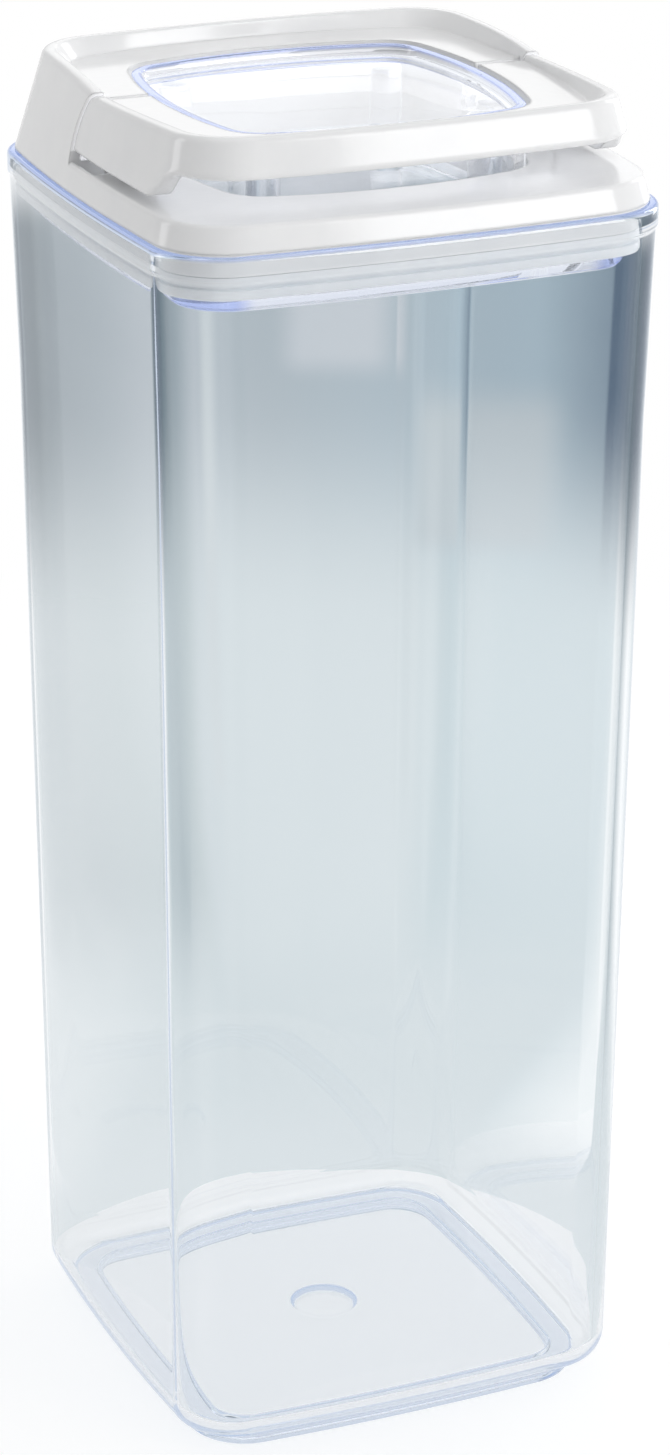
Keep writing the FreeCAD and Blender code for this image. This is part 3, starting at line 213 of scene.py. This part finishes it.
class Wire:
    """A shader value that plain arithmetic can be done with."""

    def __init__(self, finish, socket):
        self.finish = finish
        self.socket = socket

    def _math(self, operation, first, second):
        return self.finish.node("ShaderNodeMath", {"operation": operation}, {0: first, 1: second})

    def __add__(self, other):
        return self._math("ADD", self, other)

    def __radd__(self, other):
        return self._math("ADD", other, self)

    def __sub__(self, other):
        return self._math("SUBTRACT", self, other)

    def __rsub__(self, other):
        return self._math("SUBTRACT", other, self)

    def __mul__(self, other):
        return self._math("MULTIPLY", self, other)

    def __rmul__(self, other):
        return self._math("MULTIPLY", other, self)

    def __gt__(self, other):
        return self._math("GREATER_THAN", self, other)

    def __lt__(self, other):
        return self._math("LESS_THAN", self, other)

    def round_from(self, other):
        """Angle of a point from its two level coordinates, this one and another."""
        return self._math("ARCTAN2", other, self)

    def size(self):
        return self._math("ABSOLUTE", self, 0.0)

    def largest(self, other):
        return self._math("MAXIMUM", self, other)


class Finish:
    """One material, or the sky, and the nodes that make it up."""

    def __init__(self, owner, output="ShaderNodeOutputMaterial"):
        self.owner = owner
        self.output = output
        owner.use_nodes = True
        self.tree = owner.node_tree
        self.tree.nodes.clear()

    def node(self, kind, settings=None, sockets=None, out=0):
        """Add a node, set it up, feed its sockets, and return one of its outputs."""
        made = self.tree.nodes.new(kind)
        for key, value in (settings or {}).items():
            if key == "stops":
                fill_ramp(made.color_ramp, value)
            else:
                setattr(made, key, value)
        for key, value in (sockets or {}).items():
            self.feed(made.inputs[key], value)
        return Wire(self, made.outputs[out])

    def feed(self, socket, value):
        if isinstance(value, Wire):
            self.tree.links.new(value.socket, socket)
        else:
            socket.default_value = value

    def place(self):
        """Place on the piece, in metres."""
        return self.node("ShaderNodeTexCoord", out="Object")

    def axes(self):
        """The three coordinates of that place."""
        place = self.place()
        return [self.node("ShaderNodeSeparateXYZ", {}, {0: place}, out=axis) for axis in "XYZ"]

    def length(self, vector):
        return self.node("ShaderNodeVectorMath", {"operation": "LENGTH"}, {0: vector}, out="Value")

    def ray(self, kind):
        """1 for rays of one kind, or a count of a ray's turns."""
        return self.node("ShaderNodeLightPath", out=kind)

    def noise(self, size, detail=2.0, rough=0.5, place=None):
        """Soft cloudy pattern whose features are about this many metres across."""
        where = place or self.place()
        sockets = {"Vector": where, "Scale": 1.0 / size, "Detail": detail, "Roughness": rough}
        return self.node("ShaderNodeTexNoise", {"noise_dimensions": "3D"}, sockets, out="Fac")

    def spread(self, value, span, to=(0.0, 1.0), kind="LINEAR"):
        """Stretch a value from one range to another and hold it there."""
        sockets = {"Value": value, "From Min": span[0], "From Max": span[1]}
        sockets.update({"To Min": to[0], "To Max": to[1]})
        return self.node("ShaderNodeMapRange", {"clamp": True, "interpolation_type": kind}, sockets)

    def soft_step(self, value, low, high):
        """Rise smoothly from 0 to 1 between two values."""
        return self.spread(value, (low, high), kind="SMOOTHSTEP")

    def soft_band(self, value, low, high, low_feather, high_feather):
        """1 between two values, with soft ends."""
        rising = self.soft_step(value, low - low_feather, low + low_feather)
        return rising * self.soft_step(value, high + high_feather, high - high_feather)

    def blend(self, share, first, second):
        """Mix two colours."""
        return self.node("ShaderNodeMix", {"data_type": "RGBA"}, {0: share, 6: first, 7: second}, out=2)

    def mix(self, share, first, second):
        """Mix two surfaces."""
        return self.node("ShaderNodeMixShader", {}, {0: share, 1: first, 2: second})

    def glow(self, colour, strength=1.0):
        return self.node("ShaderNodeEmission", {}, {"Color": colour, "Strength": strength})

    def dent(self, height, depth, under=None):
        """Surface relief from a height pattern, this many metres deep."""
        sockets = {"Height": height, "Distance": depth, "Strength": 1.0}
        if under is not None:
            sockets["Normal"] = under
        return self.node("ShaderNodeBump", {}, sockets)

    def soft_edges(self, radius):
        """Normal that rounds the sharp edges off by this many metres."""
        return self.node("ShaderNodeBevel", {"samples": 6}, {"Radius": radius})

    def finish(self, shader, volume=None):
        output = self.tree.nodes.new(self.output)
        self.tree.links.new(shader.socket, output.inputs["Surface"])
        if volume is not None:
            self.tree.links.new(volume.socket, output.inputs["Volume"])
        return self.owner


def fill_ramp(ramp, stops):
    while len(ramp.elements) < len(stops):
        ramp.elements.new(0.5)
    for element, (where, colour) in zip(ramp.elements, stops):
        element.position = where
        element.color = colour


# Finishes
def lid_tint(f):
    """Clear, with blue on the window cup's rim and at the seal plate's corners."""
    across, along, height = f.axes()
    corner = f.soft_step(across.size() + along.size(), *PLATE_CORNER) * (PLATE_OVER > height)
    return f.blend(corner.largest(f.soft_step(height, *CUP_RIM_BLUE)), LID_CLEAR, LID_BLUE)


def canister_tint(f):
    """Clear, with blue on the bead round the mouth and blue grey in the foot ring."""
    height = f.axes()[2]
    colour = f.blend(f.soft_step(height, *BEAD_BLUE), BODY_CLEAR, BODY_BLUE)
    return f.blend(f.soft_step(height, *FOOT_GREY), colour, BODY_GREY)


def clear_plastic(name, tint_of, stain, stain_strength, painted_edge_glow):
    """Clear moulded plastic: sharp, faintly rippled, bluer the more of it is looked through, with a painted
    glow for deep rays.
    """
    f = Finish(bpy.data.materials.new(name))
    cloud = f.noise(size=0.030)
    smear = f.noise(size=0.011, detail=4.0, rough=0.6)
    shader = f.node("ShaderNodeBsdfPrincipled", {}, {
        "Base Color": tint_of(f),
        "Roughness": f.spread(smear, (0.45, 0.75), to=(0.004, 0.03)),
        "IOR": 1.57,
        "Transmission Weight": 1.0,
        "Normal": f.dent(cloud, CLEAR_RIPPLE),
    })
    lamp_way = f.node("ShaderNodeBsdfTransparent", {}, {"Color": LAMP_THROUGH})
    # Rays that turn too often show a painted glow in place of the light trapped in the plastic
    kept_in = (f.ray("Ray Depth") > MOST_TURNS).largest(f.ray("Glossy Depth") > MOST_MIRRORINGS)
    seen = f.mix(kept_in, shader, f.glow(painted_edge_glow))
    mixed = f.mix(f.ray("Is Shadow Ray").largest(f.ray("Is Diffuse Ray")), seen, lamp_way)
    body = f.node("ShaderNodeVolumeAbsorption", {}, {"Color": stain, "Density": stain_strength})
    return f.finish(mixed, body)


def painted_glow_inside_lid(f):
    """Painted glow share: 1 on faces inside the lid's hollow frame, less in the seam behind the handle, 0
    elsewhere.
    """
    across, along, height = f.axes()
    out_x, out_y = across.size(), along.size()
    wall_at = HOLLOW_HALF - (height - HOLLOW_LOW) * HOLLOW_LEAN
    inward = (wall_at > out_x.largest(out_y)) * (HOLLOW_CORNER - out_x > out_y)
    covered = (along > HOLLOW_FRONT).largest(height > HOLLOW_ROOF)
    hollow = inward * covered * (height > HOLLOW_LOW) * (HOLLOW_TOP > height)
    hinge_y, hinge_z = HINGE_LINE
    from_hinge = f.node("ShaderNodeCombineXYZ", {}, {1: along - hinge_y, 2: height - hinge_z})
    near_seam = SEAM_HALF_GAP > (f.length(from_hinge) - SEAM_RADIUS).size()
    return hollow.largest(near_seam * (along > SEAM_FRONT) * (height > SEAM_LOW) * SEAM_SHARE)


def gloss_white(name):
    """White moulded plastic with a polished skin, a trace of orange peel, and a painted glow inside the
    lid's hollow.
    """
    f = Finish(bpy.data.materials.new(name))
    peel = f.noise(size=0.0016)
    wear = f.noise(size=0.012, detail=3.0, rough=0.6)
    colour = f.blend(f.spread(wear, (0.3, 0.7)), (0.84, 0.845, 0.855, 1.0), (0.875, 0.878, 0.882, 1.0))
    shader = f.node("ShaderNodeBsdfPrincipled", {}, {
        "Base Color": colour,
        "Roughness": f.spread(wear, (0.3, 0.75), to=(0.10, 0.18)),
        "IOR": 1.5,
        # Painted glow: lightens the faces inside the lid's hollow, which lie in shade
        "Emission Color": f.blend(painted_glow_inside_lid(f), BLACK, PAINTED_INSIDE_GLOW),
        "Emission Strength": 1.0,
        "Normal": f.dent(peel, depth=0.00001, under=f.soft_edges(radius=0.0008)),
    })
    return f.finish(shader)


def satin_white(name):
    """White moulded plastic with a fine matt grain."""
    f = Finish(bpy.data.materials.new(name))
    grain = f.noise(size=0.0007)
    wear = f.noise(size=0.015, detail=3.0)
    colour = f.blend(f.spread(wear, (0.3, 0.7)), (0.80, 0.81, 0.825, 1.0), (0.85, 0.855, 0.86, 1.0))
    shader = f.node("ShaderNodeBsdfPrincipled", {}, {
        "Base Color": colour,
        "Roughness": f.spread(wear, (0.3, 0.75), to=(0.36, 0.48)),
        "IOR": 1.5,
        "Normal": f.dent(grain, depth=0.00002),
    })
    return f.finish(shader)


def milky_silicone(name):
    """Soft translucent sealing ring."""
    f = Finish(bpy.data.materials.new(name))
    cloud = f.noise(size=0.006, detail=3.0, rough=0.6)
    grain = f.noise(size=0.0009)
    colour = f.blend(f.spread(cloud, (0.3, 0.7)), (0.80, 0.83, 0.865, 1.0), (0.86, 0.88, 0.90, 1.0))
    shader = f.node("ShaderNodeBsdfPrincipled", {}, {
        "Base Color": colour,
        "Roughness": f.spread(cloud, (0.3, 0.7), to=(0.42, 0.58)),
        "IOR": 1.42,
        "Subsurface Weight": 0.35,
        "Subsurface Radius": (1.0, 1.0, 1.0),
        "Subsurface Scale": 0.002,
        "Normal": f.dent(grain, depth=0.00002),
    })
    return f.finish(shader)


def drawn_steel(name):
    """Bright pins with fine lines along their length."""
    f = Finish(bpy.data.materials.new(name))
    stretched = f.node("ShaderNodeMapping", {}, {"Vector": f.place(), "Scale": (0.05, 1.0, 1.0)})
    lines = f.noise(size=0.00012, rough=0.6, place=stretched)
    shader = f.node("ShaderNodeBsdfPrincipled", {}, {
        "Base Color": f.blend(lines, (0.58, 0.58, 0.60, 1.0), (0.72, 0.72, 0.74, 1.0)),
        "Metallic": 1.0,
        "Roughness": f.spread(lines, (0.3, 0.7), to=(0.22, 0.36)),
    })
    return f.finish(shader)


def wear_finish(node, material):
    """Give a solid from the frame its finish."""
    slots = nodes[node].data.materials
    slots.clear()
    slots.append(material)


# Outlines and rings that the modelled pieces are drawn from
def on_arc(centre, radius, angle):
    return centre[0] + radius * math.cos(angle), centre[1] + radius * math.sin(angle)


def outline(shape):
    """Points round a square with bowed sides and round corners, in millimetres."""
    half, corner, side = shape
    back = half - side
    middle = (back + math.sqrt(2.0 * (side - corner) ** 2 - back * back)) / 2.0
    sweep = math.atan2(middle, middle - back)
    points = []
    for quarter in range(4):
        turn = quarter * math.pi / 2.0
        side_centre = on_arc((0.0, 0.0), back, turn)
        for step in range(SIDE_STEPS):
            points.append(on_arc(side_centre, side, turn - sweep + 2.0 * sweep * step / SIDE_STEPS))
        corner_centre = on_arc((0.0, 0.0), middle * math.sqrt(2.0), turn + math.pi / 4.0)
        for step in range(CORNER_STEPS):
            angle = turn + sweep + (math.pi / 2.0 - 2.0 * sweep) * step / CORNER_STEPS
            points.append(on_arc(corner_centre, corner, angle))
    return points


def disc(radius):
    """Points round a circle, in step with the bowed square's."""
    points = []
    for x, y in outline(DISC_GUIDE):
        reach = math.hypot(x, y)
        points.append((x / reach * radius, y / reach * radius))
    return points


def shrink(shape, less):
    return tuple(value - less for value in shape)


def wall(half):
    """Outline of the canister's wall at a half width."""
    return half, half * CORNER_SHARE, half * SIDE_SHARE


def between(low, high, share):
    return low + (high - low) * share


def rings(shape, steps):
    """Rings on one outline from steps of (how much smaller, height)."""
    return [(outline(shrink(shape, less)), height) for less, height in steps]


def discs(radii, height):
    """Level discs, one inside the other."""
    return [(disc(radius), height) for radius in radii]


def wall_rings(halves, heights, shares, less=0.0):
    """Rings on the canister's leaning wall, at shares of the way from one end to the other."""
    steps = []
    for share in shares:
        shape = shrink(wall(between(*halves, share)), less)
        steps.append((outline(shape), between(*heights, share)))
    return steps


def quarter_round(radius):
    """Inset and rise of each step round a lower edge, from level to upright."""
    steps = []
    for step in range(ROUND_STEPS + 1):
        turn = math.radians(90.0 / ROUND_STEPS * step)
        steps.append((radius * (1.0 - math.sin(turn)), radius * (1.0 - math.cos(turn))))
    return steps


def metres(x, y, z):
    return x * MM, y * MM, z * MM


def set_ring(piece, ring, height):
    """Put the newest ring of points on an outline."""
    fresh = piece.data.vertices[len(piece.data.vertices) - len(ring):]
    for point, (x, y) in zip(fresh, ring):
        point.co = metres(x, y, height)


# Steps of modelling
def select_none():
    bpy.ops.object.select_all(action="DESELECT")


def select_only(piece):
    select_none()
    piece.select_set(True)
    bpy.context.view_layer.objects.active = piece


def apply_place():
    """Take the active piece's place and size into its mesh, and return it."""
    bpy.ops.object.transform_apply(location=True, rotation=True, scale=True)
    return bpy.context.active_object


def edit_all():
    """Open the active piece for editing with all of it selected."""
    bpy.ops.object.mode_set(mode="EDIT")
    bpy.ops.mesh.select_mode(type="VERT")
    bpy.ops.mesh.select_all(action="SELECT")


def round_edges():
    """Round what is selected and leave editing."""
    bpy.ops.mesh.bevel(offset=EDGE_ROUND * MM, segments=EDGE_STEPS, affect="EDGES")
    bpy.ops.object.mode_set(mode="OBJECT")


def skin(name, profile, hollow_ring=False):
    """Closed skin drawn ring by ring from an added circle; each step is (points, height)."""
    select_none()
    ring, height = profile[0]
    bpy.ops.mesh.primitive_circle_add(vertices=len(ring))
    piece = bpy.context.active_object
    piece.name = name
    set_ring(piece, ring, height)
    edit_all()
    for ring, height in profile[1:]:
        bpy.ops.mesh.extrude_region_move()
        bpy.ops.object.mode_set(mode="OBJECT")
        set_ring(piece, ring, height)
        bpy.ops.object.mode_set(mode="EDIT")
    if not hollow_ring:
        bpy.ops.mesh.edge_face_add()
    bpy.ops.mesh.select_all(action="DESELECT")
    bpy.ops.object.mode_set(mode="OBJECT")
    count = len(ring)
    total = len(piece.data.vertices)
    for point in piece.data.vertices:
        first = point.index < count
        last = point.index >= total - count
        point.select = first or (last and hollow_ring)
    bpy.ops.object.mode_set(mode="EDIT")
    bpy.ops.mesh.select_mode(type="VERT")
    if hollow_ring:
        bpy.ops.mesh.bridge_edge_loops()
    else:
        bpy.ops.mesh.edge_face_add()
    bpy.ops.mesh.select_all(action="SELECT")
    bpy.ops.mesh.normals_make_consistent(inside=False)
    bpy.ops.object.mode_set(mode="OBJECT")
    return piece


def even_normals(piece):
    """Smooth the curves and keep the flats flat."""
    select_only(piece)
    bpy.ops.object.shade_smooth_by_angle(angle=math.radians(SMOOTH_UNDER))
    weigh = piece.modifiers.new("even_normals", "WEIGHTED_NORMAL")
    weigh.keep_sharp = True
    weigh.weight = 100
    bpy.ops.object.modifier_apply(modifier=weigh.name)


def join_solid(piece, other, how):
    """Add or cut another solid and drop it."""
    change = piece.modifiers.new("join", "BOOLEAN")
    change.operation = how
    change.object = other
    change.solver = "EXACT"
    select_only(piece)
    bpy.ops.object.modifier_apply(modifier=change.name)
    bpy.data.objects.remove(other)


def stand_for(piece, node, body, material):
    """Let a modelled piece take a frame node's place."""
    even_normals(piece)
    piece.data.materials.clear()
    piece.data.materials.append(material)
    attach(piece, body)
    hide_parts(node)


# Modelled pieces
def make_canister():
    """One skin from the dimple under the floor, up the outside, over the mouth and down the inside."""
    lower = [(inset, UNDER_FLOOR + rise) for inset, rise in quarter_round(LOWER_ROUND)]
    inner = [(WALL_THICK + inset, FLOOR_TOP + rise) for inset, rise in reversed(quarter_round(INNER_ROUND))]
    inner.append((WALL_THICK + INNER_ROUND + FLOOR_EDGE, FLOOR_TOP))
    profile = [(disc(radius), height) for radius, height in DIMPLE_RINGS]
    profile += rings(FOOT_INSIDE, FOOT_INSIDE_RINGS)
    profile += rings(FOOT_OUTSIDE, FOOT_OUTSIDE_RINGS)
    profile += rings(wall(WALL_LOW), lower)
    profile += wall_rings((WALL_LOW, WALL_HIGH), (WALL_START, FLARE), WALL_SHARES)
    profile += wall_rings((WALL_HIGH, RIM), (FLARE, BEAD_START), FLARE_SHARES)
    profile += [(outline(wall(half)), height) for half, height in BEAD_RINGS]
    profile += rings(wall(RIM), MOUTH_RINGS)
    profile += wall_rings((RIM, WALL_HIGH), (BEAD_START, FLARE), INNER_FLARE_SHARES, WALL_THICK)
    profile += wall_rings((WALL_HIGH, WALL_LOW), (FLARE, INNER_START), WALL_SHARES[:-1], WALL_THICK)
    profile += rings(wall(WALL_LOW), inner)
    profile += discs((FLOOR_DISC, MIDDLE), FLOOR_TOP)
    stand_for(skin("canister_clear", profile), "canister", "base", clear_body)


def slot_cutter(side):
    """Long round bar that cuts a lug's slot, stretched to the front."""
    x, y, z = SLOT_PLACE
    select_none()
    bpy.ops.mesh.primitive_cylinder_add(vertices=SLOT_SIDES, radius=SLOT_RADIUS * MM, depth=SLOT_LONG * MM,
                                        location=metres(side * x, y, z), rotation=(0.0, math.pi / 2.0, 0.0))
    slot = apply_place()
    for point in slot.data.vertices:
        if point.co.y < y * MM - SPLIT_GAP:
            point.co.y -= SLOT_STRETCH * MM
    return slot


def slotted_lug(side):
    """Lug on one side of the cup, with its slot cut and its root trimmed to lie inside the cup's wall."""
    x, y, z = LUG_PLACE
    select_none()
    bpy.ops.mesh.primitive_cube_add(size=1.0, location=metres(side * x, y, z), scale=metres(*LUG_SIZE))
    lug = apply_place()
    edit_all()
    round_edges()
    join_solid(lug, slot_cutter(side), "DIFFERENCE")
    select_only(lug)
    edit_all()
    bpy.ops.mesh.bisect(plane_co=metres(side * LUG_ROOT, 0.0, 0.0), plane_no=(side, 0.0, 0.0),
                        use_fill=True, clear_inner=True, clear_outer=False)
    bpy.ops.object.mode_set(mode="OBJECT")
    return lug


def make_window_cup():
    """Square cup with a shallow dish on top, open below, and a slotted lug on either side."""
    profile = discs((MIDDLE, DISH_DISC), DISH_UNDER)
    profile += rings(CUP, CUP_RINGS)
    profile += discs((DISH_DISC, MIDDLE), DISH_TOP)
    cup = skin("window_cup_clear", profile)
    for side in (1.0, -1.0):
        join_solid(cup, slotted_lug(side), "UNION")
    stand_for(cup, "window_cup", "plunger", clear_lid)


def round_post(x, y):
    """Upright post with a rounded top."""
    select_none()
    bpy.ops.mesh.primitive_cylinder_add(vertices=POST_SIDES, radius=POST_RADIUS * MM, depth=POST_LONG * MM,
                                        location=metres(x, y, POST_MIDDLE))
    post = apply_place()
    bpy.ops.object.mode_set(mode="EDIT")
    bpy.ops.mesh.select_mode(type="FACE")
    bpy.ops.mesh.select_all(action="DESELECT")
    bpy.ops.object.mode_set(mode="OBJECT")
    for face in post.data.polygons:
        face.select = face.normal.z > TOP_FACING
    bpy.ops.object.mode_set(mode="EDIT")
    round_edges()
    return post


def make_seal_plate():
    """Flat plate with a square boss and four posts on it."""
    profile = discs((MIDDLE, PLATE_DISC), PLATE_UNDER)
    profile += rings(PLATE, PLATE_RINGS)
    profile += rings(CUP, BOSS_RINGS)
    profile += discs((BOSS_DISC, MIDDLE), BOSS_TOP)
    plate = skin("seal_plate_clear", profile)
    for x in (POST_OUT, -POST_OUT):
        for y in (POST_OUT, -POST_OUT):
            join_solid(plate, round_post(x, y), "UNION")
    stand_for(plate, "seal_plate", "plunger", clear_lid)


def make_gasket():
    """Ring with a groove between two lips."""
    profile = rings(GASKET_INSIDE, GASKET_FOOT_RINGS)
    profile += rings(GASKET_OUTSIDE, GASKET_LIP_RINGS)
    profile += rings(GASKET_INSIDE, GASKET_HEAD_RINGS)
    stand_for(skin("gasket_soft", profile, hollow_ring=True), "gasket", "plunger", silicone)


# Every solid gets its finish, then the modelled pieces take the place of theirs
clear_body = clear_plastic("clear_body", canister_tint, stain=(0.55, 0.72, 0.95, 1.0), stain_strength=10.0,
                           painted_edge_glow=(0.60, 0.67, 0.79, 1.0))
clear_lid = clear_plastic("clear_lid", lid_tint, stain=(0.45, 0.52, 1.0, 1.0), stain_strength=1.4,
                          painted_edge_glow=(0.88, 0.91, 0.95, 1.0))
white_gloss = gloss_white("white_gloss")
white_satin = satin_white("white_satin")
silicone = milky_silicone("silicone")
pin_steel = drawn_steel("pin_steel")

for node, material in (("canister", clear_body), ("lid_cover", white_gloss), ("flip_handle", white_gloss),
                       ("lid_base", white_satin), ("window_cup", clear_lid), ("seal_plate", clear_lid),
                       ("gasket", silicone), ("hinge_pins", pin_steel), ("lift_pins", pin_steel)):
    wear_finish(node, material)

make_canister()
make_window_cup()
make_seal_plate()
make_gasket()


# Studio: pale floor, soft lamps, and a card painted with light and shade that only shows through the clear
# walls
def plain_floor():
    """Painted floor that looks plain white away from the object."""
    select_none()
    bpy.ops.mesh.primitive_plane_add(size=FLOOR_SIZE, location=(0.0, 0.0, FLOOR_HEIGHT))
    floor = bpy.context.active_object
    floor.name = "studio_floor"
    f = Finish(bpy.data.materials.new("studio_floor"))
    paint = f.node("ShaderNodeBsdfDiffuse", {}, {"Color": FLOOR_PAINT})
    away = f.spread(f.length(f.place()), FLOOR_FADE)
    shown = paint
    for kind, strength in FLOOR_GLOW:
        near = f.node("ShaderNodeAddShader", {}, {0: paint, 1: f.glow(WHITE, strength)})
        shown = f.mix(f.ray(kind), shown, f.mix(away, near, f.glow(WHITE)))
    floor.data.materials.append(f.finish(shown))


def painted_card_shade(f):
    """Painted light and shade of the sweep at each place on it."""
    across, along, height = f.axes()
    rise = f.spread(f.length(f.place()) + height, CARD_REACH)
    start, end = CARD_MIDDLE - CARD_HALF, CARD_MIDDLE + CARD_HALF
    degrees = across.round_from(along) * (180.0 / math.pi)
    turn = f.node("ShaderNodeMath", {"operation": "WRAP"}, {0: degrees, 1: end, 2: start})
    quarter = f.spread(turn, (start, end))
    low = f.node("ShaderNodeValToRGB", {"stops": CARD_LOW}, {"Fac": quarter})
    high = f.node("ShaderNodeValToRGB", {"stops": CARD_HIGH}, {"Fac": quarter})
    shade = f.blend(f.soft_step(rise, *CARD_CHANGE), low, high)
    for left, right, foot, head, feather, colour in CARD_PAINTED_PANELS:
        wide = f.soft_band(turn, right, left, feather, feather)
        tall = f.soft_band(rise, foot, head, PANEL_FOOT_FEATHER, PANEL_HEAD_FEATHER)
        shade = f.blend(wide * tall, shade, colour)
    near_floor = f.soft_step(rise, *CARD_NEAR) * f.soft_step(quarter, *CARD_NEAR_PART)
    shade = f.blend(f.soft_step(rise, *CARD_TOP), shade, CARD_TOP_SHADE)
    shade = f.blend(near_floor, shade, CARD_NEAR_SHADE)
    return f.blend(f.soft_step(rise, *CARD_FOOT), shade, CARD_FOOT_SHADE)


def shade_card():
    """Round sweep about the object, painted pale at its foot and blue grey shade above; only clear walls
    show it.
    """
    select_none()
    bpy.ops.mesh.primitive_circle_add(vertices=CARD_SIDES, radius=CARD_START,
                                      location=(0.0, 0.0, CARD_HEIGHT))
    card = apply_place()
    card.name = "studio_card"
    edit_all()
    radius = CARD_START
    for wider, higher in CARD_SWEEP:
        bpy.ops.mesh.extrude_region_move(TRANSFORM_OT_translate={"value": (0.0, 0.0, higher)})
        grow = wider / radius
        bpy.ops.transform.resize(value=(grow, grow, 1.0), center_override=(0.0, 0.0, 0.0))
        radius = wider
    bpy.ops.object.mode_set(mode="OBJECT")
    f = Finish(bpy.data.materials.new("studio_card"))
    card.data.materials.append(f.finish(f.glow(painted_card_shade(f))))
    card.visible_camera = False
    card.visible_diffuse = False
    card.visible_glossy = False
    card.visible_shadow = False


def soft_lamp(name, place, target, size, power):
    lamp = bpy.data.lights.new(name, "AREA")
    lamp.shape = "RECTANGLE"
    lamp.size, lamp.size_y = size
    lamp.energy = power
    holder = bpy.data.objects.new(name, lamp)
    bpy.context.scene.collection.objects.link(holder)
    holder.location = place
    holder.rotation_euler = (Vector(target) - Vector(place)).to_track_quat("-Z", "Y").to_euler()
    holder.visible_camera = False


def plain_sky():
    """White where it is seen, softer as a light."""
    world = bpy.data.worlds.new("studio_air")
    bpy.context.scene.world = world
    f = Finish(world, "ShaderNodeOutputWorld")
    soft = f.node("ShaderNodeBackground", {}, {"Color": WHITE, "Strength": SKY_LIGHT})
    white = f.node("ShaderNodeBackground", {}, {"Color": WHITE, "Strength": 1.0})
    shiny = f.ray("Is Camera Ray").largest(f.ray("Is Glossy Ray"))
    f.finish(f.mix(shiny.largest(f.ray("Is Transmission Ray")), soft, white))


def photo_camera():
    """Camera that stands where the photograph was taken from."""
    turn = math.radians(VIEW_AZIMUTH)
    lift = math.radians(VIEW_ELEVATION)
    roll = math.radians(VIEW_ROLL)
    back = Vector((math.sin(turn) * math.cos(lift), -math.cos(turn) * math.cos(lift), math.sin(lift)))
    right = Vector((0.0, 0.0, 1.0)).cross(back).normalized()
    upward = back.cross(right)
    right, upward = (right * math.cos(roll) + upward * math.sin(roll),
                     upward * math.cos(roll) - right * math.sin(roll))
    camera = bpy.data.objects.new("photo_camera", bpy.data.cameras.new("photo_camera"))
    bpy.context.scene.collection.objects.link(camera)
    facing = Matrix((right, upward, back)).transposed().to_4x4()
    camera.matrix_world = Matrix.Translation(VIEW_TARGET + back * VIEW_DISTANCE) @ facing
    camera.data.sensor_width = SENSOR_WIDE
    camera.data.lens = FOCAL_PIXELS * SENSOR_WIDE / PHOTO_TALL
    camera.data.shift_x = (PHOTO_WIDE / 2.0 - CENTRE_PIXEL[0]) / PHOTO_TALL
    camera.data.shift_y = (CENTRE_PIXEL[1] - PHOTO_TALL / 2.0) / PHOTO_TALL
    camera.data.clip_start = CLIP_NEAR
    camera.data.clip_end = CLIP_FAR
    bpy.context.scene.camera = camera


plain_floor()
shade_card()
plain_sky()
for lamp_row in LAMPS:
    soft_lamp(*lamp_row)
photo_camera()
bpy.context.scene.view_settings.view_transform = "Standard"
